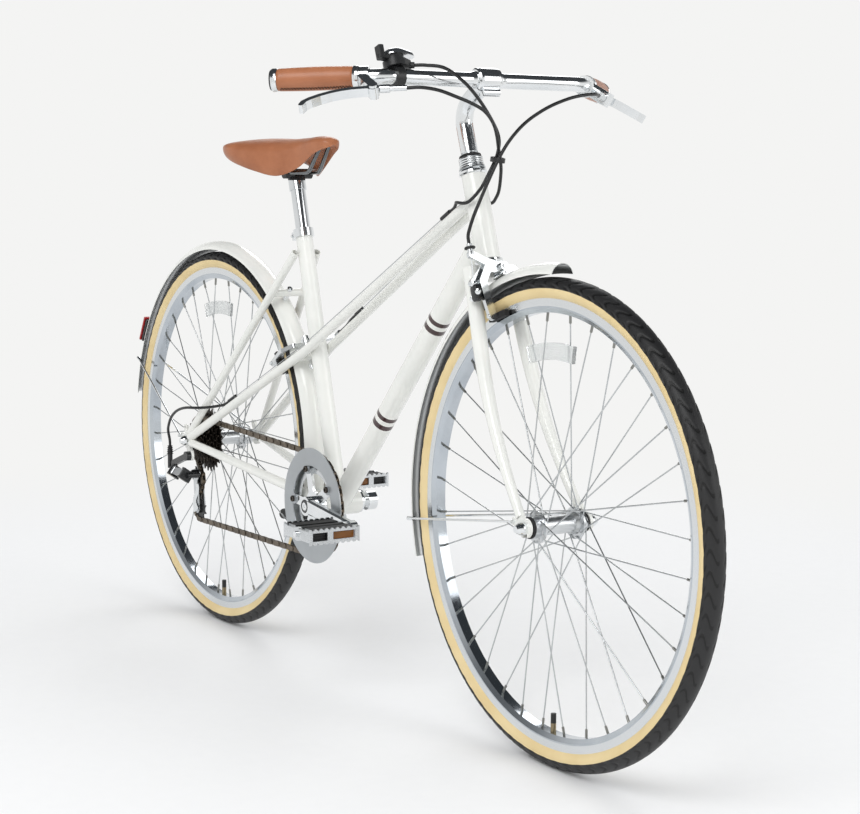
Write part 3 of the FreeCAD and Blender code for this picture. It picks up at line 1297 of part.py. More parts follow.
def inner_link():
    """Inner link: two plates and two bored rollers."""
    half = INNER_WIDTH / 2
    solids = link_plates(half, half + PLATE_THICKNESS)
    for x in (0, CHAIN_PITCH):
        solids.append(Part.makeCylinder(ROLLER_RADIUS, INNER_WIDTH, Vector(x, 0, -half)))
    body = fused(solids)
    for x in (0, CHAIN_PITCH):
        body = body.cut(Part.makeCylinder(PIN_RADIUS + CHAIN_FIT, 20, Vector(x, 0, -10)))
    return body


def outer_link():
    """Outer link: two plates and two pins."""
    half = INNER_WIDTH / 2 + PLATE_THICKNESS + CHAIN_FIT
    solids = link_plates(half, half + PLATE_THICKNESS)
    reach = half + PLATE_THICKNESS
    for x in (0, CHAIN_PITCH):
        solids.append(Part.makeCylinder(PIN_RADIUS, 2 * reach, Vector(x, 0, -reach)))
    return fused(solids)


def chain():
    """Roller chain of alternating inner and outer links, its rollers seated between the teeth."""
    kinds = [inner_link(), outer_link()]
    step = CHAIN_RUN.length / CHAIN_LENGTH
    links = []
    for index in range(CHAIN_LENGTH):
        start = CHAIN_RUN.point(index * step)
        end = CHAIN_RUN.point((index + 1) * step)
        way = (end - start).normalize()
        origin = Vector(start.x, -CHAIN_LINE, start.z)
        links.append(placed(kinds[index % 2], origin, way, Y_AXIS.cross(way) * -1))
    return Part.makeCompound(links)


SPIDER_ARMS = 5


def arm_angle(index):
    """Side-view angle of a spider arm, the crank lying midway between two of them."""
    return CRANK_ANGLE + (index + 0.5) * 360 / SPIDER_ARMS


SPIDER_INNER = CHAIN_LINE + RING_THICKNESS / 2
SPIDER_OUTER = SPIDER_INNER + 5.0


def chainring():
    """Toothed chainring with a bore inside the spider's tips."""
    phase = CHAIN_RUN.phase(0, RING_TEETH, -1)
    ring = sprocket(RING_TEETH, RING_THICKNESS, BOLT_CIRCLE_RADIUS - 9, phase)
    return upright(ring, BRACKET, -SPIDER_INNER + RING_THICKNESS)


def chain_guard():
    """Flat guard disc outside the spider, with a tab and a bolt at each arm."""
    thickness = 1.6
    ring = Part.makeCylinder(GUARD_RADIUS, thickness).cut(Part.makeCylinder(GUARD_INNER_RADIUS, thickness))
    for index in range(SPIDER_ARMS):
        way = direction(arm_angle(index))
        spot = Vector(way.x, way.z, 0) * BOLT_CIRCLE_RADIUS
        ring = ring.fuse(Part.makeCylinder(9, thickness, spot))
        ring = ring.fuse(Part.makeCylinder(5, thickness + 2.4, spot))
    return upright(ring.removeSplitter(), BRACKET, -SPIDER_OUTER)


def bevelled(x, half, low, high):
    """Outline of a crank arm's section at X: a rectangle with its corners cut off."""
    cut = CRANK_BEVEL
    corners = [(cut - half, low), (half - cut, low), (half, low + cut), (half, high - cut),
               (half - cut, high),
               (cut - half, high), (-half, high - cut), (-half, low + cut), (cut - half, low)]
    return Part.makePolygon([Vector(x, across, level) for across, level in corners])


def crank(side):
    """Crank arm drawn along its length: boss on the spindle, tapered arm and pedal eye."""
    arm_low = CRANK_BOSS_FACE - CRANK_THICKNESS - 4
    boss = Part.makeCylinder(CRANK_BOSS_RADIUS, CRANK_BOSS_FACE - arm_low, Vector(0, 0, arm_low))
    eye_low = CRANK_EYE_FACE - CRANK_THICKNESS
    end = Vector(CRANK_LENGTH, 0, 0)
    eye = Part.makeCylinder(CRANK_EYE_RADIUS, CRANK_THICKNESS, end + Z_AXIS * eye_low)
    root = CRANK_BOSS_RADIUS * 0.8
    neck = CRANK_EYE_RADIUS * 0.85
    sections = [bevelled(0, root, arm_low + 2, CRANK_BOSS_FACE),
                bevelled(CRANK_LENGTH, neck, eye_low, CRANK_EYE_FACE)]
    arm = Part.makeLoft(sections, True, True)
    solids = [boss, eye, arm]
    if side < 0:
        for index in range(SPIDER_ARMS):
            angle = math.radians((index + 0.5) * 360 / SPIDER_ARMS)
            spot = Vector(math.cos(angle), math.sin(angle), 0) * BOLT_CIRCLE_RADIUS
            solids.append(bar([Vector(0, 0, 0), spot], 8, SPIDER_INNER, SPIDER_OUTER))
        solids.append(Part.makeCylinder(CRANK_BOSS_RADIUS + 8, arm_low - SPIDER_INNER + 1,
                                        Z_AXIS * SPIDER_INNER))
    whole = fused(solids)
    whole = whole.cut(Part.makeCylinder(SPINDLE_RADIUS, CRANK_BOSS_FACE - 6))
    return whole.cut(Part.makeCylinder(PEDAL_AXLE_RADIUS, 3 * CRANK_EYE_FACE, end))


def crank_arms():
    """Both crank arms, half a turn apart, the right one with the spider."""
    way = direction(CRANK_ANGLE)
    right = placed(crank(-1), BRACKET, way, way.cross(Y_AXIS))
    left = placed(crank(1), BRACKET, way * -1, way.cross(Y_AXIS))
    return Part.makeCompound([largest(right), largest(left)])


def pedal_centre(side):
    """Centre of the pedal axle's outer end face on one side."""
    return BRACKET + direction(CRANK_ANGLE) * (-side * CRANK_LENGTH) + Y_AXIS * (side * CRANK_EYE_FACE)


def crank_axles():
    """Bottom bracket spindle between the cranks, and the two pedal axles screwed into them."""
    half = Y_AXIS * (CRANK_BOSS_FACE - 6)
    solids = [rod(BRACKET - half, BRACKET + half, SPINDLE_RADIUS)]
    for side in (-1, 1):
        eye = pedal_centre(side)
        out = Y_AXIS * side
        shaft = rod(eye - out * CRANK_THICKNESS, eye + out * (PEDAL_WIDTH + 4), PEDAL_AXLE_RADIUS)
        flats = rod(eye, eye + out * 4, PEDAL_AXLE_RADIUS + 4)
        solids.append(shaft.fuse(flats).removeSplitter())
    return Part.makeCompound(solids)


def pedal_cage(x, near, far):
    """Serrated metal plate along one edge of a pedal."""
    half_height = PEDAL_HEIGHT / 2
    cage = Part.makeBox(PEDAL_CAGE, PEDAL_HEIGHT, far - near, Vector(x, -half_height, near))
    pitch = (far - near) / 9
    for index in range(9):
        notch = near + pitch * (index + 0.5)
        for edge in (-half_height, half_height):
            points = [Vector(x, edge, notch - pitch / 3), Vector(x, edge, notch + pitch / 3),
                      Vector(x, edge * 0.76, notch)]
            cage = cage.cut(extruded(points, X_AXIS * PEDAL_CAGE))
    for low, high in (PEDAL_LENS_WINDOW, PEDAL_BLOCK_WINDOW):
        cage = cage.cut(Part.makeBox(PEDAL_CAGE, PEDAL_WINDOW_HEIGHT, high - low,
                                     Vector(x, -PEDAL_WINDOW_HEIGHT / 2, near + low)))
    return cage


def pedal(side):
    """Pedal: body with two ribbed rubber blocks, two serrated cages with windows and two reflectors."""
    near = 4 + SEATED_GAP
    far = PEDAL_WIDTH
    end_plate = 6.0
    half_length = PEDAL_LENGTH / 2
    half_height = PEDAL_HEIGHT / 2
    body = [Part.makeCylinder(11, far - near, Vector(0, 0, near))]
    for z in (near, far - end_plate):
        body.append(Part.makeBox(PEDAL_LENGTH - 2 * PEDAL_CAGE, PEDAL_HEIGHT - 8, end_plate,
                                 Vector(PEDAL_CAGE - half_length, 4 - half_height, z)))
    block_x = half_length - 2 * PEDAL_CAGE
    for x in (-block_x, block_x - PEDAL_BLOCK):
        body.append(Part.makeBox(PEDAL_BLOCK, PEDAL_HEIGHT - 4, far - near - 2 * end_plate,
                                 Vector(x, 2 - half_height, near + end_plate)))
    core = fused(body).cut(Part.makeCylinder(PEDAL_AXLE_RADIUS + RUNNING_FIT, far + 1))
    low, high = PEDAL_BLOCK_WINDOW
    for x in (-block_x, block_x - PEDAL_GROOVE):
        for level in (-PEDAL_RIB_PITCH, 0, PEDAL_RIB_PITCH):
            core = core.cut(Part.makeBox(PEDAL_GROOVE, PEDAL_GROOVE, high - low,
                                         Vector(x, level - PEDAL_GROOVE / 2, near + low)))
    solids = [core, pedal_cage(-half_length, near, far), pedal_cage(half_length - PEDAL_CAGE, near, far)]
    low, high = PEDAL_LENS_WINDOW
    lens_height = PEDAL_WINDOW_HEIGHT + 2 * PEDAL_LENS_LAP
    for x in (PEDAL_CAGE - half_length, block_x):
        solids.append(Part.makeBox(PEDAL_CAGE, lens_height, high - low + 2 * PEDAL_LENS_LAP,
                                   Vector(x, -lens_height / 2, near + low - PEDAL_LENS_LAP)))
    along = Z_AXIS if side < 0 else Z_AXIS * -1
    return placed(Part.makeCompound(solids), pedal_centre(side), X_AXIS, along)


FREEWHEEL_RADIUS = 24.0
FREEWHEEL_BORE = 18.0
FREEWHEEL_INNER = CHAIN_LINE - COG_SPACING * (len(COG_TEETH) // 2)


def freewheel():
    """Freewheel body with its cogs, the smallest outside."""
    count = len(COG_TEETH)
    inner_face = FREEWHEEL_INNER - 2
    outer_face = FREEWHEEL_INNER + COG_SPACING * (count - 1) + 2
    body = tube(REAR_AXLE - Y_AXIS * inner_face, REAR_AXLE - Y_AXIS * outer_face, FREEWHEEL_RADIUS,
                FREEWHEEL_BORE)
    solids = [body]
    for index, teeth in enumerate(COG_TEETH):
        place = FREEWHEEL_INNER + COG_SPACING * (count - 1 - index)
        phase = CHAIN_RUN.phase(3, CHAIN_COG, -1) if teeth == CHAIN_COG else index * 7.0
        cog = sprocket(teeth, COG_THICKNESS, FREEWHEEL_RADIUS, phase)
        solids.append(upright(cog, REAR_AXLE, -place + COG_THICKNESS / 2))
    return Part.makeCompound(solids)


# Derailleur

SLANT = math.radians(LINK_SLANT)
LINK_WAY = X_AXIS
LINK_INWARD = Vector(0, math.cos(SLANT), -math.sin(SLANT))
LINK_AXIS = LINK_WAY.cross(LINK_INWARD)
KNUCKLE_LEFT = -CHAIN_LINE - 27.0
BACK_PIVOT = REAR_AXLE + Vector(-38.0, KNUCKLE_LEFT - 7.0, -64.0)
FRONT_PIVOT = BACK_PIVOT + LINK_WAY * LINK_LENGTH
LINK_PIN_RADIUS = 2.0
LINK_HEIGHT = 14.0
LINK_EYE = 4.2
EAR_THICKNESS = 3.0
KNUCKLE_BOSS = 10.0
SHIFT_STOP_BACK = 30.0
SHIFT_STOP_HEIGHT = 32.0


def link_at(share):
    """Shift of a link's pivots from the middle of the parallelogram: -0.5 outside, 0.5 inside."""
    return LINK_INWARD * (LINK_SPACING * share)


def derailleur_link(share):
    """One side plate of the parallelogram, with an eye at each pivot."""
    half = LINK_HEIGHT / 2
    ends = [Vector(0, 0, 0), Vector(LINK_LENGTH, 0, 0)]
    web = bar(ends, 1.8, -half, half)
    eyes = [Part.makeCylinder(LINK_EYE, LINK_HEIGHT, end - Z_AXIS * half) for end in ends]
    whole = fused([web] + eyes)
    for end in ends:
        whole = whole.cut(Part.makeCylinder(LINK_PIN_RADIUS + RUNNING_FIT, 2 * LINK_HEIGHT,
                                            end - Z_AXIS * LINK_HEIGHT))
    return placed(whole, BACK_PIVOT + link_at(share), LINK_WAY, LINK_INWARD)


def knuckle(sign):
    """Ears and pins of a knuckle drawn at its pivots: sign is the side of the web along X."""
    half = LINK_HEIGHT / 2 + SEATED_GAP
    reach = half + EAR_THICKNESS
    pivots = [Vector(0, -LINK_SPACING / 2, 0), Vector(0, LINK_SPACING / 2, 0)]
    solids = []
    web = LINK_EYE + SEATED_GAP
    for low, high in ((half, reach), (-reach, -half)):
        solids.append(bar(pivots, 5, low, high))
        outline = [Vector(0, -LINK_SPACING / 2 - 5, low),
                   Vector(sign * (web + 4), -LINK_SPACING / 2 - 5, low),
                   Vector(sign * (web + 4), LINK_SPACING / 2 + 5, low),
                   Vector(0, LINK_SPACING / 2 + 5, low)]
        solids.append(extruded(outline, Z_AXIS * (high - low)))
    start = min(sign * web, sign * (web + 4))
    solids.append(Part.makeBox(4, LINK_SPACING + 10, 2 * reach,
                               Vector(start, -LINK_SPACING / 2 - 5, -reach)))
    for pivot in pivots:
        solids.append(Part.makeCylinder(LINK_PIN_RADIUS, 2 * reach, pivot - Z_AXIS * reach))
    return fused(solids)


def shift_stop_top():
    """Top of the upright stop behind the derailleur, where the gear cable's housing ends."""
    outer = -REAR_HUB_WIDTH / 2 - DROPOUT_THICKNESS
    return Vector(BACK_PIVOT.x - SHIFT_STOP_BACK, outer - 4.5, BACK_PIVOT.z + SHIFT_STOP_HEIGHT + 8)


def derailleur_bracket():
    """Upper knuckle: bolted to the hanger, it carries the back pivots and the cable stop."""
    ears = placed(knuckle(-1), BACK_PIVOT, LINK_WAY, LINK_INWARD)
    outer = -REAR_HUB_WIDTH / 2 - DROPOUT_THICKNESS
    hanger = REAR_AXLE + Vector(HANGER_FORWARD, outer, -HANGER_DROP)
    boss = rod(hanger, hanger - Y_AXIS * 9, 8.5)
    bolt = rod(hanger + Y_AXIS * DROPOUT_THICKNESS, hanger, HANGER_BORE)
    web = LINK_EYE + SEATED_GAP + 2
    back = BACK_PIVOT - LINK_WAY * web
    strap_y = outer - 4.5
    strap = bar([Vector(hanger.x, hanger.z, 0), Vector(back.x - 5, back.z + 16, 0),
                 Vector(back.x - 5, back.z, 0)], 5.5, -4, 4)
    strap = placed(strap, Vector(0, strap_y, 0), X_AXIS, Z_AXIS)
    top = shift_stop_top()
    foot = top - Z_AXIS * SHIFT_STOP_HEIGHT
    arm = rod(Vector(back.x - 5, strap_y, back.z), foot, STOP_RADIUS)
    stop = rod(foot - Z_AXIS * STOP_RADIUS, top, STOP_RADIUS + 1)
    return largest(fused([ears, boss, bolt, strap, arm, stop]))


def derailleur_knuckle():
    """Lower knuckle: it carries the front pivots and the pin of the pulley cage."""
    ears = placed(knuckle(1), FRONT_PIVOT, LINK_WAY, LINK_INWARD)
    centre = CAGE_PIVOT
    near = -CHAIN_LINE - CAGE_HALF - CAGE_PLATE - SEATED_GAP
    web = LINK_EYE + SEATED_GAP + 2
    arm = FRONT_PIVOT + LINK_WAY * web
    boss = rod(Vector(centre.x, near, centre.z), Vector(centre.x, near - KNUCKLE_BOSS, centre.z), 8)
    pin = rod(Vector(centre.x, near, centre.z), Vector(centre.x, near + CAGE_PLATE + SEATED_GAP, centre.z),
              CAGE_PIN_RADIUS)
    strap_y = near - KNUCKLE_BOSS / 2 - 0.3
    joint = Vector(centre.x, strap_y, centre.z)
    corner = Vector(arm.x + 4, strap_y, centre.z)
    end = Vector(arm.x + 4, arm.y, arm.z)
    strap = [rod(joint, corner, 5), Part.makeSphere(5, corner), rod(corner, end, 5)]
    return largest(fused([ears, boss, pin] + strap))


CAGE_HALF = 5.0
CAGE_PLATE = 2.0
CAGE_PIN_RADIUS = 4.0
PULLEY_PIN_RADIUS = 3.0
PULLEY_THICKNESS = 2.2


def derailleur_cage():
    """Pulley cage: two plates joined by the pulley pins."""
    points = [Vector(p.x - CAGE_PIVOT.x, p.z - CAGE_PIVOT.z, 0)
              for p in (CAGE_PIVOT, GUIDE_CENTRE, TENSION_CENTRE)]
    outer = bar(points, 8, CAGE_HALF, CAGE_HALF + CAGE_PLATE)
    outer = outer.cut(Part.makeCylinder(CAGE_PIN_RADIUS + RUNNING_FIT, 40, Vector(0, 0, -20)))
    inner = bar(points[1:], 8, -CAGE_HALF - CAGE_PLATE, -CAGE_HALF)
    pins = [Part.makeCylinder(PULLEY_PIN_RADIUS, 2 * (CAGE_HALF + CAGE_PLATE),
                              p - Z_AXIS * (CAGE_HALF + CAGE_PLATE))
            for p in points[1:]]
    whole = fused([outer, inner] + pins)
    return placed(whole, Vector(CAGE_PIVOT.x, -CHAIN_LINE, CAGE_PIVOT.z), X_AXIS, Z_AXIS)


def pulley(centre, index, sense):
    """Toothed plastic pulley with a raised hub that fills the cage."""
    phase = CHAIN_RUN.phase(index, PULLEY_TEETH, sense)
    plate = sprocket(PULLEY_TEETH, PULLEY_THICKNESS, PULLEY_PIN_RADIUS + RUNNING_FIT, phase)
    boss_half = CAGE_HALF - SEATED_GAP
    boss = Part.makeCylinder(8, 2 * boss_half, Vector(0, 0, PULLEY_THICKNESS / 2 - boss_half))
    boss = boss.cut(Part.makeCylinder(PULLEY_PIN_RADIUS + RUNNING_FIT, 40, Vector(0, 0, -20)))
    return upright(plate.fuse(boss).removeSplitter(), centre, -CHAIN_LINE + PULLEY_THICKNESS / 2)


# Brakes, drawn with Y outwards along the wheel's radius and Z along the bolt

ARM_BACK_LEVEL = 17.0
ARM_FRONT_LEVEL = ARM_BACK_LEVEL + ARM_THICKNESS + SEATED_GAP
CABLE_SIDE = -48.0


def brake_pad(side, low, high):
    """Brake block and its holder, drawn beside the rim at the end of an arm."""
    face = RIM_WIDTH / 2 + PAD_GAP
    middle = (low + high) / 2
    half_length = PAD_LENGTH / 2
    half_height = PAD_HEIGHT / 2
    block = Part.makeBox(PAD_THICKNESS, PAD_HEIGHT, PAD_LENGTH,
                         Vector(face, -CALIPER_REACH - half_height, middle - half_length))
    stud = rod(Vector(face + PAD_THICKNESS, -CALIPER_REACH, middle),
               Vector(face + 24, -CALIPER_REACH, middle), 3)
    pad = block.fuse(stud)
    return pad if side > 0 else pad.mirror(Vector(0, 0, 0), X_AXIS)


def brake_arm(front):
    """One arm of a side-pull brake with its pad and its cable end."""
    side = -1 if front else 1
    low = ARM_FRONT_LEVEL if front else ARM_BACK_LEVEL
    high = low + ARM_THICKNESS
    outer = RIM_WIDTH / 2 + PAD_GAP + PAD_THICKNESS + 6
    pivot = Vector(0, 0, 0)
    leg = [pivot, Vector(side * (outer - 4), -1, 0), Vector(side * (outer + 8), -20, 0),
           Vector(side * (outer + 5), -46, 0), Vector(side * (outer + 1), -CALIPER_REACH, 0)]
    cable_end = Vector(CABLE_SIDE, 20, 0) if front else Vector(CABLE_SIDE, -20, 0)
    bend = Vector(CABLE_SIDE * 0.6, 10, 0) if front else Vector(CABLE_SIDE * 0.55, 2, 0)
    tail = [pivot, bend, cable_end]
    body = fused([bar(leg, 6, low, high), bar(tail, 5.5, low, high),
                  Part.makeCylinder(9, ARM_THICKNESS, Vector(0, 0, low))])
    middle = (low + high) / 2
    anchor = Vector(cable_end.x, cable_end.y, middle)
    if front:
        body = body.fuse(rod(anchor, anchor + Y_AXIS * 16, 4.5))
        body = body.cut(rod(anchor - Y_AXIS * 20, anchor + Y_AXIS * 40, WIRE_RADIUS + SEATED_GAP))
    else:
        body = body.fuse(rod(anchor - Z_AXIS * (ARM_THICKNESS / 2 + 3),
                             anchor + Z_AXIS * (ARM_THICKNESS / 2), 4.5))
    body = body.fuse(brake_pad(side, low, high)).removeSplitter()
    return largest(body.cut(Part.makeCylinder(BRAKE_BOLT_RADIUS + RUNNING_FIT, 100, Vector(0, 0, -10))))


def brake_bolt():
    """Centre bolt of a brake with its front nut, spacer and back nut."""
    top = ARM_FRONT_LEVEL + ARM_THICKNESS + SEATED_GAP
    spacer_low = CROWN_DEPTH / 2
    body = [Part.makeCylinder(BRAKE_BOLT_RADIUS, top + 8 + spacer_low + 9, Vector(0, 0, -spacer_low - 9)),
            Part.makeCylinder(6.5, 6, Vector(0, 0, top)),
            Part.makeCylinder(SPACER_RADIUS, ARM_BACK_LEVEL - SEATED_GAP - spacer_low,
                              Vector(0, 0, spacer_low)),
            Part.makeCylinder(5.5, 7, Vector(0, 0, -spacer_low - 7))]
    return fused(body)


def at_front_brake(shape):
    """Place a brake piece on the fork crown."""
    return placed(shape, FRONT_BRAKE, Y_AXIS, STEER_UP)


def at_rear_brake(shape):
    """Place a brake piece on the brake bridge."""
    return placed(shape, REAR_BRAKE, Y_AXIS * -1, REAR_BRAKE_OUT)


# Fenders

def fender(axle, low, high, bolts=()):
    """Arched mudguard shell over part of a wheel, with holes at the side-view angles of its bolts."""
    half = FENDER_WIDTH / 2
    way = direction(high)
    skin = FENDER_THICKNESS

    def spot(radius, left):
        return axle + way * radius + Y_AXIS * left

    edges = [Part.Arc(spot(FENDER_EDGE_RADIUS, -half), spot(FENDER_RADIUS, 0),
                      spot(FENDER_EDGE_RADIUS, half)).toShape(),
             Part.LineSegment(spot(FENDER_EDGE_RADIUS, half),
                              spot(FENDER_EDGE_RADIUS, half - skin)).toShape(),
             Part.Arc(spot(FENDER_EDGE_RADIUS, half - skin), spot(FENDER_RADIUS - skin, 0),
                      spot(FENDER_EDGE_RADIUS, skin - half)).toShape(),
             Part.LineSegment(spot(FENDER_EDGE_RADIUS, skin - half),
                              spot(FENDER_EDGE_RADIUS, -half)).toShape()]
    shell = Part.Face(Part.Wire(edges)).revolve(axle, Y_AXIS, high - low)
    for angle in bolts:
        shell = shell.cut(rod(beside(axle, FENDER_RADIUS - 9, angle),
                              beside(axle, FENDER_RADIUS + 9, angle),
                              FENDER_BOLT_RADIUS + RUNNING_FIT))
    return shell


def fender_bolt(axle, angle, inner, outer):
    """Bolt through a fender's crown, its head inside and its tail at an outer radius."""
    head = FENDER_RADIUS - FENDER_THICKNESS - 1
    return fused([rod(beside(axle, head - 2, angle), beside(axle, outer, angle), FENDER_BOLT_RADIUS),
                  rod(beside(axle, head - 2, angle), beside(axle, head, angle), FENDER_BOLT_RADIUS + 2),
                  rod(beside(axle, inner, angle), beside(axle, outer - 2, angle), FENDER_BOLT_RADIUS + 2)])


def rear_fender_bolts():
    """Bolts of the rear fender in the bridges of the seat stays and of the chain stays, with spacers."""
    solids = []
    for angle, reach in ((STAY_BOLT_ANGLE, STAY_BRIDGE_REACH),
                         (CHAIN_BOLT_ANGLE, CHAINSTAY_LENGTH - CHAIN_BRIDGE_REACH)):
        bolt = fender_bolt(REAR_AXLE, angle, reach + BRIDGE_RADIUS, reach + BRIDGE_RADIUS + 6)
        spacer = rod(beside(REAR_AXLE, FENDER_RADIUS, angle), beside(REAR_AXLE, reach, angle),
                     FENDER_BOLT_RADIUS + 2)
        centre = beside(REAR_AXLE, reach, angle)
        bridge = rod(centre - Y_AXIS * 20, centre + Y_AXIS * 20, BRIDGE_RADIUS + RUNNING_FIT)
        around = rod(beside(REAR_AXLE, FENDER_RADIUS - 9, angle), centre, FENDER_BOLT_RADIUS)
        nut_cut = rod(beside(REAR_AXLE, reach, angle), beside(REAR_AXLE, reach + 60, angle),
                      FENDER_BOLT_RADIUS)
        solids.append(fused([bolt.cut(bridge.cut(nut_cut).cut(around)),
                             largest(spacer.cut(bridge).cut(around))]))
    return [largest(solid) for solid in solids]


def front_fender_bracket():
    """Strip on the brake bolt, bent forward over the front fender's crown and bolted to it."""
    low = CROWN_DEPTH / 2 + SEATED_GAP
    high = ARM_BACK_LEVEL - SEATED_GAP
    behind = FORK_RAKE - (low + high) / 2
    foot_radius = FENDER_RADIUS + SEATED_GAP
    drop = math.sqrt(foot_radius ** 2 - behind ** 2) - (CROWN_TOP - CROWN_HEIGHT / 2)
    strip = bar([Vector(0, 0, 0), Vector(0, drop + 6.2, 0)], 6.2, low, high)
    strip = at_front_brake(strip.cut(Part.makeCylinder(SPACER_RADIUS + RUNNING_FIT, 2 * high)))
    foot = Part.makeCylinder(foot_radius + 2, 16, FRONT_AXLE - Y_AXIS * 8, Y_AXIS)
    foot = foot.cut(Part.makeCylinder(foot_radius, 16, FRONT_AXLE - Y_AXIS * 8, Y_AXIS))
    back = math.degrees(math.atan2(behind, foot_radius))
    sector = [FRONT_AXLE - Y_AXIS * 8, beside(FRONT_AXLE, 500, 180 - HEAD_ANGLE + back, -8),
              beside(FRONT_AXLE, 500, FRONT_BOLT_ANGLE - 1.2, -8)]
    foot = foot.common(extruded(sector, Y_AXIS * 16))
    bolt = fender_bolt(FRONT_AXLE, FRONT_BOLT_ANGLE, foot_radius + 2, foot_radius + 6)
    strip = strip.cut(Part.makeCylinder(foot_radius, 40, FRONT_AXLE - Y_AXIS * 20, Y_AXIS))
    return largest(fused([strip, foot, bolt]))


STAY_BOLT_ANGLE = math.degrees(math.atan2(SEAT_STAY_TOP.z - REAR_AXLE.z, SEAT_STAY_TOP.x - REAR_AXLE.x))
CHAIN_BOLT_ANGLE = math.degrees(math.atan2(BRACKET.z - REAR_AXLE.z, BRACKET.x - REAR_AXLE.x))
FRONT_BOLT_ANGLE = 180 - HEAD_ANGLE + 2.5


def fender_stays(axle, angle, eyelet_left):
    """Wire stays from the eyelets to clamps on both edges of a fender."""
    solids = []
    eyelet = axle + direction(FENDER_EYELET_ANGLE) * EYELET_REACH
    for side in (-1, 1):
        foot = eyelet + Y_AXIS * (side * (eyelet_left + STAY_WIRE_RADIUS + 1.4))
        edge = FENDER_WIDTH / 2 + STAY_WIRE_RADIUS + SEATED_GAP
        top = beside(axle, FENDER_EDGE_RADIUS + 6, angle, side * edge)
        wire = rod(foot, top, STAY_WIRE_RADIUS)
        bolt = rod(foot - Y_AXIS * (side * (DROPOUT_THICKNESS + STAY_WIRE_RADIUS)),
                   foot + Y_AXIS * (side * 5), EYELET_BORE - RUNNING_FIT)
        clamp = rod(top - direction(angle) * 12, top + direction(angle) * 4, STAY_WIRE_RADIUS + 1.5)
        clamp = clamp.cut(fender(axle, angle - 12, angle + 12))
        solids.append(largest(fused([wire, bolt, clamp])))
    return solids


# Cables

def lateral_top(along_x, side):
    """Point above a lateral tube where a cable stop sits, at a given X."""
    share = (along_x - REAR_AXLE.x) / (LATERAL_HEAD.x - REAR_AXLE.x)
    point = REAR_AXLE + (LATERAL_HEAD - REAR_AXLE) * share
    return point + Y_AXIS * (side * lateral_left(point)) + LATERAL_UP * (LATERAL_RADIUS + STOP_RADIUS)


def stop_way(along_x, side):
    """Direction backwards along a lateral tube at a given X."""
    return (lateral_top(along_x - 1, side) - lateral_top(along_x + 1, side)).normalize()


def cable_stop(along_x, side):
    """Small brazed stop with a ferrule, lying along a lateral tube."""
    point = lateral_top(along_x, side)
    half = stop_way(along_x, side) * (STOP_LENGTH / 2)
    return rod(point - half, point + half, STOP_RADIUS)


FRONT_STOP_X = REAR_AXLE.x + FRONT_STOP_REACH
BRAKE_STOP_X = REAR_AXLE.x + BRAKE_STOP_REACH
SHIFT_STOP_X = REAR_AXLE.x + SHIFT_STOP_REACH


def frame_cables():
    """Cables held by the frame: wires between stops, the derailleur's loop and the rear brake's run."""
    solids = []
    for side, far_x in ((-1, SHIFT_STOP_X), (1, BRAKE_STOP_X)):
        near = lateral_top(FRONT_STOP_X, side)
        far = lateral_top(far_x, side)
        beside_seat = LATERAL_SEAT + Y_AXIS * (side * lateral_left(LATERAL_SEAT))
        seat_spot = beside_seat + LATERAL_UP * (LATERAL_RADIUS + STOP_RADIUS)
        run = [near, seat_spot, far] if far_x < LATERAL_SEAT.x else [near, far]
        wire = bent_rod(run, [LATERAL_BEND] if len(run) > 2 else [], WIRE_RADIUS)
        solids.append(fused([cable_stop(FRONT_STOP_X, side), wire, cable_stop(far_x, side)]))
    shift_way = stop_way(SHIFT_STOP_X, -1)
    start = lateral_top(SHIFT_STOP_X, -1) + shift_way * (STOP_LENGTH / 2)
    end = shift_stop_top() + Z_AXIS * SEATED_GAP
    loop = [start, start + shift_way * 16, REAR_AXLE + Vector(88, -70, 70), REAR_AXLE + Vector(62, -84, 67),
            REAR_AXLE + Vector(28, -90, 65), REAR_AXLE + Vector(-8, -91, 56),
            REAR_AXLE + Vector(-40, -89, 38),
            end + Vector(-1, -4, 36), end + Z_AXIS * 16, end]
    solids.append(cable(loop, HOUSING_RADIUS))
    brake_way = stop_way(BRAKE_STOP_X, 1)
    brake_start = lateral_top(BRAKE_STOP_X, 1) + brake_way * (STOP_LENGTH / 2)
    adjuster = (REAR_BRAKE + REAR_BRAKE_OUT * (20 + 16 + SEATED_GAP) + Y_AXIS * -CABLE_SIDE
                + REAR_BRAKE_BOLT * (ARM_FRONT_LEVEL + ARM_THICKNESS / 2))
    run = [brake_start, brake_start + brake_way * 22, adjuster + REAR_BRAKE_OUT * 26, adjuster]
    solids.append(cable(run, HOUSING_RADIUS))
    return Part.makeCompound(solids)


def lever_exit(side):
    """Point and direction where the cable leaves a brake lever's adjuster."""
    place = GRIP_FRAMES[side]
    end = LEVER_PIVOT[0] + LEVER_ADJUSTER_END - SEATED_GAP
    return place.point(end, LEVER_PIVOT[1] - LEVER_BARREL_DROP), place.along * -1


def front_brake_cable():
    """Housing from the left lever down to the front brake."""
    start, way = lever_exit(1)
    end = (FRONT_BRAKE + STEER_UP * (20 + 16 + SEATED_GAP) + Y_AXIS * CABLE_SIDE
           + STEER_FORWARD * (ARM_FRONT_LEVEL + ARM_THICKNESS / 2))
    route = [start, start + way * 20, start + Vector(20, -37, -1), start + Vector(18, -63, -6),
             start + Vector(8, -95, -19), start + Vector(-4, -127, -41), end + Vector(14, 58, 147),
             end + Vector(10, 42, 120),
             end + Vector(5, 23, 78), end + Vector(1, 5, 36), end + STEER_UP * 12, end]
    return cable(route, HOUSING_RADIUS)


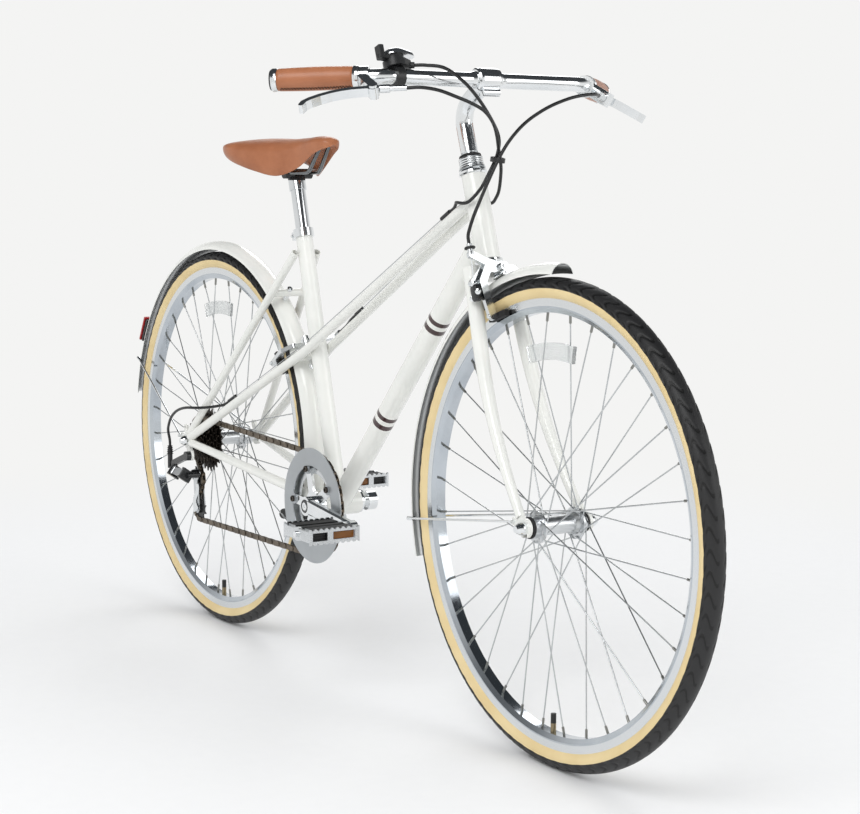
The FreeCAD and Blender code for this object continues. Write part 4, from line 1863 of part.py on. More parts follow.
def control_cables():
    """Housings that cross the steering: from the right lever and from the shifter to the frame."""
    start, way = lever_exit(-1)
    left_way = stop_way(FRONT_STOP_X, 1)
    right_way = stop_way(FRONT_STOP_X, -1)
    brake_end = lateral_top(FRONT_STOP_X, 1) - left_way * (STOP_LENGTH / 2)
    brake = [start, start + way * 20, start + Vector(24, 36, -3), start + Vector(30, 60, -11),
             start + Vector(30, 85, -19), start + Vector(26, 110, -29), start + Vector(14, 133, -44),
             start + Vector(-2, 151, -61),
             brake_end + Vector(110, -11, 90), brake_end + Vector(106, -5, 74),
             brake_end + Vector(96, 3, 59),
             brake_end + Vector(76, 14, 34), brake_end + Vector(62, 18, 21), brake_end + Vector(48, 19, 13),
             brake_end + Vector(28, 9, 12), brake_end - left_way * 12, brake_end]
    boss = shifter_exit() + SHIFTER_EXIT_WAY * SEATED_GAP
    shift_end = lateral_top(FRONT_STOP_X, -1) - right_way * (STOP_LENGTH / 2)
    shift = [boss, boss + SHIFTER_EXIT_WAY * 16, boss + Vector(26, 34, -4), boss + Vector(43, 56, -24),
             boss + Vector(49, 80, -51), boss + Vector(40, 110, -83), boss + Vector(31, 124, -102),
             shift_end + Vector(100, 16, 87), shift_end + Vector(96, 13, 73), shift_end + Vector(94, 4, 55),
             shift_end + Vector(90, -7, 34), shift_end + Vector(67, -13, 15),
             shift_end + Vector(40, -14, 14),
             shift_end + Vector(24, -5, 13), shift_end - right_way * 12, shift_end]
    return Part.makeCompound([cable(brake, HOUSING_RADIUS), cable(shift, HOUSING_RADIUS)])


# Small fittings

def rear_reflector():
    """Rear reflector: a base on the fender and its lens."""
    angle = REAR_LAMP_ANGLE
    centre = beside(REAR_AXLE, FENDER_RADIUS + SEATED_GAP, angle)
    out = direction(angle)
    tangent = direction(angle + 90)

    def block(low, high, long, wide):
        base = centre + out * low
        corners = [base + tangent * (sx * long) + Y_AXIS * (sy * wide)
                   for sx, sy in ((-1, -1), (1, -1), (1, 1), (-1, 1))]
        return extruded(corners, out * (high - low))

    base = block(0, 8, 24, 14)
    lens = block(8, 12, 26, 16)
    return Part.makeCompound([base, lens])


FRONT_HUB_END = FRONT_HUB_WIDTH / 2 - 6
REAR_HUB_LEFT = REAR_HUB_WIDTH / 2 - 12
REAR_HUB_RIGHT = CHAIN_LINE + COG_SPACING * (len(COG_TEETH) // 2) + 3

NODES = {
    "frame": frame,
    "bearing_cups": bearing_cups,
    "seat_collar": seat_collar,
    "rear_fender": lambda: fender(REAR_AXLE, REAR_FENDER_FROM, REAR_FENDER_TO,
                                  (STAY_BOLT_ANGLE, CHAIN_BOLT_ANGLE)),
    "rear_fender_stays": lambda: Part.makeCompound(
        fender_stays(REAR_AXLE, REAR_STAY_ANGLE, REAR_HUB_WIDTH / 2 + DROPOUT_THICKNESS)
        + rear_fender_bolts()),
    "rear_reflector": rear_reflector,
    "rear_axle": lambda: axle_set(REAR_AXLE, REAR_HUB_WIDTH, DROPOUT_THICKNESS, REAR_HUB_LEFT,
                                  REAR_HUB_RIGHT),
    "rear_brake_bolt": lambda: at_rear_brake(brake_bolt()),
    "chain": chain,
    "frame_cables": frame_cables,
    "derailleur_bracket": derailleur_bracket,
    "seat_post": seat_post,
    "saddle_rails": saddle_rails,
    "saddle": saddle,
    "fork": fork,
    "headset_nuts": headset_nuts,
    "stem": stem,
    "handlebar": handlebar,
    "grips": lambda: Part.makeCompound([grip(-1), grip(1)]),
    "lever_brackets": lambda: Part.makeCompound([lever_bracket(-1), lever_bracket(1)]),
    "shifter_body": shifter_body,
    "front_axle": lambda: axle_set(FRONT_AXLE, FRONT_HUB_WIDTH, DROPOUT_THICKNESS, FRONT_HUB_END,
                                   FRONT_HUB_END),
    "front_brake_bolt": lambda: at_front_brake(brake_bolt()),
    "front_fender": lambda: fender(FRONT_AXLE, FRONT_FENDER_FROM, FRONT_FENDER_TO, (FRONT_BOLT_ANGLE,)),
    "front_fender_stays": lambda: Part.makeCompound(
        fender_stays(FRONT_AXLE, FRONT_STAY_ANGLE, FRONT_HUB_WIDTH / 2 + DROPOUT_THICKNESS)
        + [front_fender_bracket()]),
    "front_brake_cable": front_brake_cable,
    "control_cables": control_cables,
    "front_tyre": lambda: tyre(FRONT_AXLE),
    "front_inner_tube": lambda: inner_tube(FRONT_AXLE),
    "front_rim": lambda: rim(FRONT_AXLE),
    "front_spokes": lambda: spokes(FRONT_AXLE, FRONT_FLANGE_OFFSET, FRONT_FLANGE_OFFSET),
    "front_hub": lambda: hub(FRONT_AXLE, FRONT_FLANGE_OFFSET, FRONT_FLANGE_OFFSET, FRONT_HUB_END,
                             FRONT_HUB_END),
    "front_wheel_reflector": lambda: wheel_reflector(FRONT_AXLE, FRONT_FLANGE_OFFSET, FRONT_FLANGE_OFFSET),
    "rear_tyre": lambda: tyre(REAR_AXLE),
    "rear_inner_tube": lambda: inner_tube(REAR_AXLE),
    "rear_rim": lambda: rim(REAR_AXLE),
    "rear_spokes": lambda: spokes(REAR_AXLE, REAR_LEFT_FLANGE_OFFSET, REAR_RIGHT_FLANGE_OFFSET),
    "rear_hub": lambda: hub(REAR_AXLE, REAR_LEFT_FLANGE_OFFSET, REAR_RIGHT_FLANGE_OFFSET, REAR_HUB_LEFT,
                            REAR_HUB_RIGHT),
    "rear_wheel_reflector": lambda: wheel_reflector(REAR_AXLE, REAR_LEFT_FLANGE_OFFSET,
                                                    REAR_RIGHT_FLANGE_OFFSET),
    "freewheel": freewheel,
    "crank_arms": crank_arms,
    "crank_axles": crank_axles,
    "chainring": chainring,
    "chain_guard": chain_guard,
    "right_pedal": lambda: pedal(-1),
    "left_pedal": lambda: pedal(1),
    "derailleur_outer_link": lambda: derailleur_link(-0.5),
    "derailleur_inner_link": lambda: derailleur_link(0.5),
    "derailleur_knuckle": derailleur_knuckle,
    "derailleur_cage": derailleur_cage,
    "guide_pulley": lambda: pulley(GUIDE_CENTRE, 2, 1),
    "tension_pulley": lambda: pulley(TENSION_CENTRE, 1, -1),
    "front_brake_arm_cable_side": lambda: at_front_brake(brake_arm(True)),
    "front_brake_arm_far_side": lambda: at_front_brake(brake_arm(False)),
    "rear_brake_arm_cable_side": lambda: at_rear_brake(brake_arm(True)),
    "rear_brake_arm_far_side": lambda: at_rear_brake(brake_arm(False)),
    "right_lever": lambda: brake_lever(-1),
    "left_lever": lambda: brake_lever(1),
    "shift_lever": shift_lever,
    "kickstand_leg": kickstand_leg,
}


def main():
    """Write one file per sub-part."""
    os.makedirs("parts", exist_ok=True)
    for name, make in NODES.items():
        shape = make()
        shape.exportStep("parts/" + name + ".step")


if __name__ == "__main__":
    main()
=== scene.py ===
"""Looks of a step-through city bicycle: surfaces, finishes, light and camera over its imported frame."""

import logging
import math
from dataclasses import dataclass
from enum import Enum
from typing import Any, Optional

import bmesh
import bpy
import numpy as np
from mathutils import Matrix, Vector


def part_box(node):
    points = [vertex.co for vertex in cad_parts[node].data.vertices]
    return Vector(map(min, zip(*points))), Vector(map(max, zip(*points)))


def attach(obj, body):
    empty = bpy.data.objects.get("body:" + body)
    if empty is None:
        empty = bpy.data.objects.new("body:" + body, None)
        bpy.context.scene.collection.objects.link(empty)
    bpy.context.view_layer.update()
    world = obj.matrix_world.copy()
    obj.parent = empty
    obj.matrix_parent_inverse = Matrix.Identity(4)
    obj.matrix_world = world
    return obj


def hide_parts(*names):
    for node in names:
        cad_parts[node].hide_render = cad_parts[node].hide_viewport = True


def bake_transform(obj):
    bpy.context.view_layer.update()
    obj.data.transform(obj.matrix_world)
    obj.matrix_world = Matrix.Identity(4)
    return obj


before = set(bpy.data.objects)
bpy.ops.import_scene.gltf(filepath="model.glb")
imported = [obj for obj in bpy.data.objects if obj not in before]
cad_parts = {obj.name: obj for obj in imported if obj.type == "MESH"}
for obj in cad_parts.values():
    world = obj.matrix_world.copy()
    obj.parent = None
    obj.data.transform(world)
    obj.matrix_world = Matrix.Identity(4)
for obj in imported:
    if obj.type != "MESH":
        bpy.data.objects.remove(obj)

LOG = logging.getLogger("bicycle")
MM = 0.001
Array = np.ndarray
Material = bpy.types.Material
Socket = bpy.types.NodeSocket
Pair = tuple[float, float]
Triple = tuple[float, float, float]
Profile = tuple[Pair, ...]
Route = tuple[Triple, ...]
Box = tuple[Triple, Triple]

# Places in millimetres and directions, read from the CAD part.
REAR_AXLE = np.array([-514.76, 0.0, 346.0])
FRONT_AXLE = np.array([530.74, 0.0, 346.0])
ENDS = (("front", FRONT_AXLE), ("rear", REAR_AXLE))
BRACKET = np.array([-78.73, 0.0, 287.0])
STEER_FOOT = np.array([483.32, 0.0, 330.13])
STEER_UP = np.array([-0.3173, 0.0, 0.9483])
STEER_FORWARD = np.array([0.9483, 0.0, 0.3173])
FORWARD = np.array([1.0, 0.0, 0.0])
SIDE = np.array([0.0, 1.0, 0.0])
UP = np.array([0.0, 0.0, 1.0])
SIDES = (-1, 1)


def metres(point: Triple) -> Triple:
    """Turn a point in millimetres into metres."""
    return tuple(value * MM for value in point)


def linear(colour: str) -> tuple[float, float, float, float]:
    """Turn an sRGB hex colour into linear light.

    Args:
        colour: Six hex digits after a hash sign.

    Returns:
        Red, green, blue and an alpha of one.
    """
    share = np.array([int(colour[place:place + 2], 16) for place in (1, 3, 5)]) / 255.0
    light = np.where(share <= 0.04045, share / 12.92, ((share + 0.055) / 1.055) ** 2.4)
    return (*light.tolist(), 1.0)


class Recipe:
    """Node tree of one material, or of the world."""

    def __init__(self, name: str, world: bool = False) -> None:
        """Start an empty tree.

        Args:
            name: Name of the material or world.
            world: Whether the tree is the world's.
        """
        self.owner = (bpy.data.worlds if world else bpy.data.materials).new(name)
        self.owner.use_nodes = True
        self.tree = self.owner.node_tree
        self.tree.nodes.clear()

    def add(self, kind: str, inputs: Optional[dict[Any, Any]] = None, out: Any = 0,
            **settings: Any) -> Any:
        """Add one node with its settings and links.

        Args:
            kind: Node type without its common prefix.
            inputs: Values or sockets by input name or number.
            out: Name or number of the output wanted.
            settings: Properties of the node.

        Returns:
            That output socket, or nothing for an output node.
        """
        node = self.tree.nodes.new("ShaderNode" + kind)
        for key, value in settings.items():
            setattr(node, key, value)
        for key, value in (inputs or {}).items():
            if isinstance(value, Socket):
                self.tree.links.new(value, node.inputs[key])
            else:
                node.inputs[key].default_value = value
        return node.outputs[out] if node.outputs else None

    def math(self, operation: str, *values: Any) -> Socket:
        """Result of one operation on numbers."""
        return self.add("Math", dict(enumerate(values)), operation=operation)

    def vector(self, operation: str, *values: Any) -> Socket:
        """Result of one operation on vectors, a number for a length or a dot product."""
        out = "Value" if operation in ("LENGTH", "DOT_PRODUCT") else "Vector"
        return self.add("VectorMath", dict(enumerate(values)), out, operation=operation)

    def axis(self, place: Socket, number: int) -> Socket:
        """One of a point's three coordinates."""
        return self.add("SeparateXYZ", {0: place}, number)

    def radius(self, place: Socket, axle: Triple) -> Socket:
        """Distance from an axle along Y, from the offset in X and Z alone."""
        offset = self.vector("SUBTRACT", place, metres(axle))
        return self.vector("LENGTH", self.vector("MULTIPLY", offset, (1.0, 0.0, 1.0)))

    def noise(self, place: Socket, size_mm: float, detail: float) -> Socket:
        """Soft noise with clouds of a size in millimetres."""
        return self.add("TexNoise", {"Vector": place, "Scale": 1 / (size_mm * MM), "Detail": detail})

    def cells(self, place: Socket, size_mm: float, disorder: float = 1.0, **settings: Any) -> Socket:
        """Distance to the nearest of points strewn at a pitch in millimetres."""
        inputs = {"Vector": place, "Scale": 1 / (size_mm * MM), "Randomness": disorder}
        return self.add("TexVoronoi", inputs, **settings)

    def ramp(self, value: Socket, source: Pair = (0.0, 1.0), target: Pair = (0.0, 1.0),
             **settings: Any) -> Socket:
        """Carry a value from one range to another and hold it at the ends."""
        return self.add("MapRange", dict(enumerate((value, *source, *target))), **settings)

    def mix(self, share: Any, first: Any, second: Any, **settings: Any) -> Socket:
        """Colour that a share carries from the first to the second."""
        return self.add("Mix", {0: share, 6: first, 7: second}, 2, data_type="RGBA", **settings)


class Grain(Enum):
    """How a surface was made, which sets the form of its fine relief."""

    ORANGE_PEEL = "sprayed and baked"
    POLISHED = "buffed"
    BRUSHED = "brushed round its axis"
    CAST = "cast and tumbled"
    MOULDED = "moulded"


@dataclass(frozen=True)
class Finish:
    """A material with two close colours, a roughness that wanders, and fine relief."""

    name: str
    colour: str
    second: str
    roughness: Pair
    grain: Grain = Grain.MOULDED
    grain_mm: float = 1.5
    relief_mm: float = 0.02
    blotch_mm: float = 60.0
    metallic: float = 0.0
    coat: float = 0.0
    transmission: float = 0.0
    ior: float = 1.5

    def paint(self, recipe: Recipe, place: Socket) -> Socket:
        """Colour of the surface: two tones mixed by broad noise."""
        share = recipe.ramp(recipe.noise(place, self.blotch_mm, 3.0), (0.35, 0.65))
        return recipe.mix(share, linear(self.colour), linear(self.second))

    def height(self, recipe: Recipe, place: Socket) -> Socket:
        """Relief of the surface, from 0 to 1, in the form of its grain.

        Args:
            recipe: Tree to add to.
            place: Object coordinates.

        Returns:
            The height socket.
        """
        if self.grain is Grain.MOULDED:
            return recipe.cells(place, self.grain_mm, feature="SMOOTH_F1")
        if self.grain is Grain.BRUSHED:
            stretched = recipe.add("Mapping", {"Vector": place, "Scale": (1.0, 0.04, 1.0)})
            return recipe.noise(stretched, self.grain_mm, 2.0)
        # Sprayed coats flow out smooth, so their ripple has no fine part.
        detail = 0.0 if self.grain is Grain.ORANGE_PEEL else 4.0
        return recipe.noise(place, self.grain_mm, detail)

    def look(self, recipe: Recipe, place: Socket, height: Socket) -> dict[str, Any]:
        """Colour, roughness and metal value, the roughness carried by the grain.

        Args:
            recipe: Tree to add to.
            place: Object coordinates.
            height: Relief of the surface.

        Returns:
            Inputs of the shader by name.
        """
        return {"Base Color": self.paint(recipe, place), "Metallic": self.metallic,
                "Roughness": recipe.ramp(height, (0.2, 0.8), self.roughness)}

    def make(self) -> Material:
        """Build the material.

        Returns:
            The finished material.
        """
        recipe = Recipe(self.name)
        place = recipe.add("TexCoord", out="Object")
        height = self.height(recipe, place)
        relief = {"Height": height, "Distance": self.relief_mm * MM, "Strength": 1.0}
        inputs = self.look(recipe, place, height)
        inputs.update({"Normal": recipe.add("Bump", relief), "Coat Weight": self.coat,
                       "Transmission Weight": self.transmission})
        if self.metallic == 0.0:
            inputs["IOR"] = self.ior
        shader = recipe.add("BsdfPrincipled", inputs)
        recipe.add("OutputMaterial", {"Surface": shader})
        return recipe.owner


@dataclass(frozen=True)
class MaskedFinish(Finish):
    """A finish that changes to another colour and metal value where a mask is set."""

    other: str = "#202020"
    other_metallic: float = 0.0
    other_roughness: float = 0.5

    def mask(self, recipe: Recipe, place: Socket) -> Socket:
        """Share of the other finish at a point, from 0 to 1."""
        raise NotImplementedError

    def look(self, recipe: Recipe, place: Socket, height: Socket) -> dict[str, Any]:
        """Colour, roughness and metal value, each carried to the other finish by the mask.

        Args:
            recipe: Tree to add to.
            place: Object coordinates.
            height: Relief of the surface.

        Returns:
            Inputs of the shader by name.
        """
        look = Finish.look(self, recipe, place, height)
        share = self.mask(recipe, place)
        look["Base Color"] = recipe.mix(share, look["Base Color"], linear(self.other))
        rough = {0: share, 2: look["Roughness"], 3: self.other_roughness}
        look["Roughness"] = recipe.add("Mix", rough, data_type="FLOAT")
        if self.metallic != self.other_metallic:
            ends = (self.metallic, self.other_metallic)
            look["Metallic"] = recipe.ramp(share, target=ends)
        return look


@dataclass(frozen=True)
class BandedEnamel(MaskedFinish):
    """White enamel with plain dark bands round one straight tube."""

    start: Triple = (0.0, 0.0, 0.0)
    along: Triple = (1.0, 0.0, 0.0)
    reach: float = 19.5
    bands: Profile = ()

    def mask(self, recipe: Recipe, place: Socket) -> Socket:
        """One within a band's length along the tube and close to its axis, else zero.

        Args:
            recipe: Tree to add to.
            place: Object coordinates.

        Returns:
            The mask socket.
        """
        offset = recipe.vector("SUBTRACT", place, metres(self.start))
        travel = recipe.vector("DOT_PRODUCT", offset, self.along)
        distance = recipe.vector("LENGTH", recipe.vector("CROSS_PRODUCT", offset, self.along))
        total: Any = 0.0
        for low, high in self.bands:
            middle, half = (low + high) / 2 * MM, (high - low) / 2 * MM
            total = recipe.math("ADD", total, recipe.math("COMPARE", travel, middle, half))
        near = recipe.math("LESS_THAN", distance, self.reach * MM)
        return recipe.math("MULTIPLY", total, near)


@dataclass(frozen=True)
class WheelFinish(MaskedFinish):
    """A finish that changes beyond a radius from a wheel's axle, seen from the side."""

    axle: Triple = (0.0, 0.0, 0.0)
    radius: float = 285.0

    def mask(self, recipe: Recipe, place: Socket) -> Socket:
        """One beyond the radius, worked out from X and Z alone."""
        return recipe.math("GREATER_THAN", recipe.radius(place, self.axle), self.radius * MM)


@dataclass(frozen=True)
class PadFinish(WheelFinish):
    """Bright brake arm with rubber blocks, inside a radius and close to the rim's sides."""

    half_width: float = 23.2

    def mask(self, recipe: Recipe, place: Socket) -> Socket:
        """One inside the radius where Y is small.

        Args:
            recipe: Tree to add to.
            place: Object coordinates.

        Returns:
            The mask socket.
        """
        beyond = WheelFinish.mask(self, recipe, place)
        off = recipe.math("ABSOLUTE", recipe.axis(place, 1))
        near = recipe.math("LESS_THAN", off, self.half_width * MM)
        return recipe.math("GREATER_THAN", near, beyond)


@dataclass(frozen=True)
class FenderEnamel(MaskedFinish):
    """White enamel outside and plating inside an arched mudguard."""

    axle: Triple = (0.0, 0.0, 0.0)
    crown: float = 346.72
    skin: float = 18.7

    def mask(self, recipe: Recipe, place: Socket) -> Socket:
        """One nearer to the section's circle than the middle of the skin.

        Args:
            recipe: Tree to add to.
            place: Object coordinates.

        Returns:
            The mask socket.
        """
        rise = recipe.math("SUBTRACT", recipe.radius(place, self.axle), self.crown * MM)
        section = recipe.add("CombineXYZ", {0: rise, 1: recipe.axis(place, 1)})
        return recipe.math("LESS_THAN", recipe.vector("LENGTH", section), self.skin * MM)


@dataclass(frozen=True)
class BoxFinish(MaskedFinish):
    """A finish that changes inside upright boxes."""

    boxes: tuple[Box, ...] = ()

    def mask(self, recipe: Recipe, place: Socket) -> Socket:
        """One where a point lies between the two corners of a box on all three axes.

        Args:
            recipe: Tree to add to.
            place: Object coordinates.

        Returns:
            The mask socket.
        """
        total: Any = 0.0
        for low, high in self.boxes:
            middle = tuple((a + b) / 2 * MM for a, b in zip(low, high))
            half = tuple((b - a) / 2 * MM for a, b in zip(low, high))
            offset = recipe.vector("SUBTRACT", place, middle)
            size = recipe.vector("ABSOLUTE", recipe.vector("DIVIDE", offset, half))
            side = recipe.math("MAXIMUM", recipe.axis(size, 0), recipe.axis(size, 1))
            most = recipe.math("MAXIMUM", side, recipe.axis(size, 2))
            total = recipe.math("MAXIMUM", total, recipe.math("LESS_THAN", most, 1.0))
        return total


@dataclass(frozen=True)
class PlaneFinish(MaskedFinish):
    """A finish that changes beyond a plane."""

    point: Triple = (0.0, 0.0, 0.0)
    normal: Triple = (0.0, 0.0, 1.0)

    def mask(self, recipe: Recipe, place: Socket) -> Socket:
        """One on the side of the plane that its normal points to."""
        offset = recipe.vector("SUBTRACT", place, metres(self.point))
        return recipe.math("GREATER_THAN", recipe.vector("DOT_PRODUCT", offset, self.normal), 0.0)


@dataclass(frozen=True)
class Tread:
    """Grooves of a tyre, in shares of one groove's pitch and of the section's length."""

    grooves: int = 77
    middle: float = 0.375
    wave: float = 34.0
    sway: float = 0.3
    shoulder: float = 0.105
    border: float = 0.205
    hook_half: float = 0.1
    hook_reach: float = 0.06
    hook_shade: float = 0.075
    notch_half: float = 0.17
    notch_reach: float = 0.02
    notch_shade: Pair = (0.2, 0.022)


TREAD = Tread()


@dataclass(frozen=True)
class TyreRubber(WheelFinish):
    """Tan side wall and black tread, with hook-shaped grooves that repeat round the tyre, painted near
    black inside as shade.
    """

    # Near black of the grooves: painted shade in the recesses.
    groove: str = "#020202"

    def cut(self, recipe: Recipe) -> Socket:
        """Grooves: a share of each pitch along a wave over the shoulder, and notches at its edge.

        Args:
            recipe: Tree to add to.

        Returns:
            The socket, one in a groove and zero on the tread.
        """
        where = recipe.add("TexCoord", out="UV")
        off = recipe.math("ABSOLUTE", recipe.math("SUBTRACT", recipe.axis(where, 1), TREAD.middle))
        wave = recipe.math("SINE", recipe.math("MULTIPLY", off, TREAD.wave))
        sway = recipe.math("MULTIPLY", wave, TREAD.sway)
        turns = recipe.math("MULTIPLY_ADD", recipe.axis(where, 0), float(TREAD.grooves), sway)
        share = recipe.math("FRACT", turns)
        round_half, across_half = TREAD.notch_shade
        hook = recipe.math("MULTIPLY", recipe.math("COMPARE", share, 0.5, TREAD.hook_half),
                           recipe.math("COMPARE", off, TREAD.shoulder, TREAD.hook_shade))
        notch = recipe.math("MULTIPLY", recipe.math("COMPARE", share, 0.0, round_half),
                            recipe.math("COMPARE", off, TREAD.border, across_half))
        return recipe.math("MAXIMUM", hook, notch)

    def look(self, recipe: Recipe, place: Socket, height: Socket) -> dict[str, Any]:
        """Tan wall and dark tread, with near-black painted shade in the grooves.

        Args:
            recipe: Tree to add to.
            place: Object coordinates.
            height: Relief of the surface.

        Returns:
            Inputs of the shader by name.
        """
        look = WheelFinish.look(self, recipe, place, height)
        # Painted shade: the grooves on the tread are darkened to near black.
        depth = recipe.math("MULTIPLY", self.cut(recipe), self.mask(recipe, place))
        look["Base Color"] = recipe.mix(depth, look["Base Color"], linear(self.groove))
        return look

    def height(self, recipe: Recipe, place: Socket) -> Socket:
        """Tread relief: fine texture, less the grooves."""
        fine = recipe.math("MULTIPLY", recipe.noise(place, self.grain_mm, 3.0), 0.12)
        return recipe.math("SUBTRACT", fine, self.cut(recipe))


@dataclass(frozen=True)
class Leather(Finish):
    """Smooth tanned hide: warm brown, mottled at two scales, with fine pores."""

    def paint(self, recipe: Recipe, place: Socket) -> Socket:
        """Two browns mixed by broad clouds, darkened a little in the pores."""
        pores = recipe.ramp(recipe.cells(place, self.grain_mm), (0.05, 0.45), (0.82, 1.0))
        return recipe.mix(1.0, Finish.paint(self, recipe, place), pores, blend_type="MULTIPLY")


@dataclass(frozen=True)
class RibbedAlloy(Finish):
    """Bright nuts with grooves turned round an axis."""

    along: Triple = (0.0, 0.0, 1.0)
    pitch_mm: float = 3.4

    def height(self, recipe: Recipe, place: Socket) -> Socket:
        """Groove relief: the sine of the distance along the axis, one wave for each pitch.

        Args:
            recipe: Tree to add to.
            place: Object coordinates.

        Returns:
            The height socket.
        """
        travel = recipe.vector("DOT_PRODUCT", place, self.along)
        turns = recipe.math("MULTIPLY", travel, 2 * math.pi / (self.pitch_mm * MM))
        return recipe.ramp(recipe.math("SINE", turns), (-1.0, 1.0))


@dataclass(frozen=True)
class Lens(Finish):
    """Clear moulded plastic over rows of small prisms that throw light back."""

    prism_mm: float = 3.0

    def height(self, recipe: Recipe, place: Socket) -> Socket:
        """Prism relief: cells as wide as a prism, pointed at their middles."""
        return recipe.cells(place, self.prism_mm, 0.0, distance="CHEBYCHEV")


@dataclass
class Surface:
    """A mesh in the making: points in millimetres, four-sided faces and their map coordinates."""

    points: Array
    quads: Array
    uv: Array

    @classmethod
    def grid(cls, spots: Array, wrap_rows: bool = False, wrap_columns: bool = False) -> "Surface":
        """Join a grid of points into faces.

        Args:
            spots: Points by row and column.
            wrap_rows: Whether the last row meets the first.
            wrap_columns: Whether the last column meets the first.

        Returns:
            The surface, with the row share as U and the column share as V.
        """
        rows, columns = spots.shape[:2]
        down, across = rows - (not wrap_rows), columns - (not wrap_columns)
        i, j = np.meshgrid(np.arange(down), np.arange(across), indexing="ij")
        i, j = i.ravel(), j.ravel()
        corners_i = np.stack([i, i + 1, i + 1, i], 1)
        corners_j = np.stack([j, j, j + 1, j + 1], 1)
        quads = (corners_i % rows) * columns + corners_j % columns
        uv = np.stack([corners_i / down, corners_j / across], -1).reshape(-1, 2)
        return cls(spots.reshape(-1, 3), quads, uv)

    @classmethod
    def joined(cls, parts: list["Surface"]) -> "Surface":
        """Put several surfaces into one.

        Args:
            parts: The surfaces, in order.

        Returns:
            One surface with all their faces.
        """
        starts = np.cumsum([0] + [len(part.points) for part in parts[:-1]])
        return cls(np.vstack([part.points for part in parts]),
                   np.vstack([part.quads + start for part, start in zip(parts, starts)]),
                   np.vstack([part.uv for part in parts]))

    def placed(self, origin: Array, x: Array, y: Array, z: Array) -> "Surface":
        """Carry local coordinates to an origin and three axes."""
        return Surface(origin + self.points @ np.stack([x, y, z]), self.quads, self.uv)

    def piece(self, name: str, body: str, slot: str, material: Material,
              flat_angle: float = 40.0) -> bpy.types.Object:
        """Turn the surface into an object that moves with a body.

        Args:
            name: Name of the piece.
            body: Body that carries it.
            slot: Not used (the name of a material slot of the record).
            material: Its finish.
            flat_angle: Edges sharper than this many degrees stay sharp.

        Returns:
            The new object.
        """
        mesh = bpy.data.meshes.new(name)
        mesh.from_pydata((self.points * MM).tolist(), [], self.quads.tolist())
        layer = mesh.uv_layers.new(name="UVMap")
        layer.data.foreach_set("uv", self.uv.astype(np.float32).ravel())
        work = bmesh.new()
        work.from_mesh(mesh)
        bmesh.ops.remove_doubles(work, verts=work.verts, dist=1e-6)
        bmesh.ops.recalc_face_normals(work, faces=work.faces)
        work.to_mesh(mesh)
        work.free()
        mesh.shade_smooth()
        mesh.set_sharp_from_angle(angle=math.radians(flat_angle))
        mesh.materials.append(material)
        piece = bpy.data.objects.new(name, mesh)
        bpy.context.scene.collection.objects.link(piece)
        if body:
            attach(piece, body)
        LOG.info("piece %s: %d faces", name, len(mesh.polygons))
        return piece


def ring_angles(count: int) -> Array:
    """Even steps round a circle, the last one short of the first."""
    return np.linspace(0, 2 * np.pi, count, endpoint=False)


def lathe(profile: Profile, count: int = 48) -> Surface:
    """Turn a profile about Z: radius r and height h go to (r cos a, r sin a, h).

    Args:
        profile: Radius and height pairs, between points on the axis or round a closed ring.
        count: Steps round the axis.

    Returns:
        The turned surface.
    """
    radius, height = np.array(profile).T[:, None]
    angle = ring_angles(count)[:, None]
    spots = np.stack(np.broadcast_arrays(radius * np.cos(angle), radius * np.sin(angle), height), -1)
    return Surface.grid(spots, wrap_rows=True)


def spans(points: Array, samples: int) -> Array:
    """Cubic on each inner span of four points, its end slopes half the chord of its neighbours.

    Args:
        points: Points along the last axis but one, with one more at each end.
        samples: Steps in each span.

    Returns:
        Points by span and step.
    """
    t = np.linspace(0, 1, samples, endpoint=False)[:, None]
    a, b, c, d = (points[..., k:points.shape[-2] - 3 + k, None, :] for k in range(4))
    return b + 0.5 * t * (c - a + t * (2 * a - 5 * b + 4 * c - d + t * (3 * (b - c) + d - a)))


def smooth_path(points: Array, samples: int = 12) -> Array:
    """Curve through points by cubic spans, straight on at both ends.

    Args:
        points: Points to pass, in order.
        samples: Steps in each span.

    Returns:
        Points along the curve.
    """
    padded = np.vstack([2 * points[0] - points[1], points, 2 * points[-1] - points[-2]])
    return np.vstack([spans(padded, samples).reshape(-1, points.shape[1]), points[-1:]])


def tube(path: Array, radius: Any, sides: int = 12,
         reference: Triple = (0.58, 0.58, 0.57)) -> Surface:
    """Carry a circle along a path: each ring lies across the slope, and the ends close to a point.

    Args:
        path: Points of the middle line.
        radius: One radius, or one for each point.
        sides: Points in a ring.
        reference: Direction that the path never follows, which steadies the rings.

    Returns:
        The closed tube.
    """
    way = np.gradient(path, axis=0)
    way /= np.linalg.norm(way, axis=1, keepdims=True)
    across = np.cross(way, np.array(reference))
    across /= np.linalg.norm(across, axis=1, keepdims=True)
    up = np.cross(across, way)
    angle = ring_angles(sides)[None, :, None]
    size = np.broadcast_to(np.asarray(radius, float), (len(path),))[:, None, None]
    ring = across[:, None] * np.cos(angle) + up[:, None] * np.sin(angle)
    first, last = (np.broadcast_to(path[end], (1, sides, 3)) for end in (0, -1))
    return Surface.grid(np.concatenate([first, path[:, None] + ring * size, last]), wrap_columns=True)


def pillow(width: float, height: float, rise: float, steps: int = 13) -> Surface:
    """Rounded plate: over a flat back, the face rises by (1 - u^8)(1 - v^8), u and v from -1 to 1.

    Args:
        width: Size along X.
        height: Size along Y.
        rise: Height of the face along Z.
        steps: Points along each side.

    Returns:
        The closed plate.
    """
    u, v = np.meshgrid(np.linspace(-1, 1, steps), np.linspace(-1, 1, steps), indexing="ij")
    face = np.stack([u * width / 2, v * height / 2, rise * (1 - u ** 8) * (1 - v ** 8)], -1)
    back = face * np.array([1.0, 1.0, 0.0])
    return Surface.joined([Surface.grid(face), Surface.grid(back[::-1])])


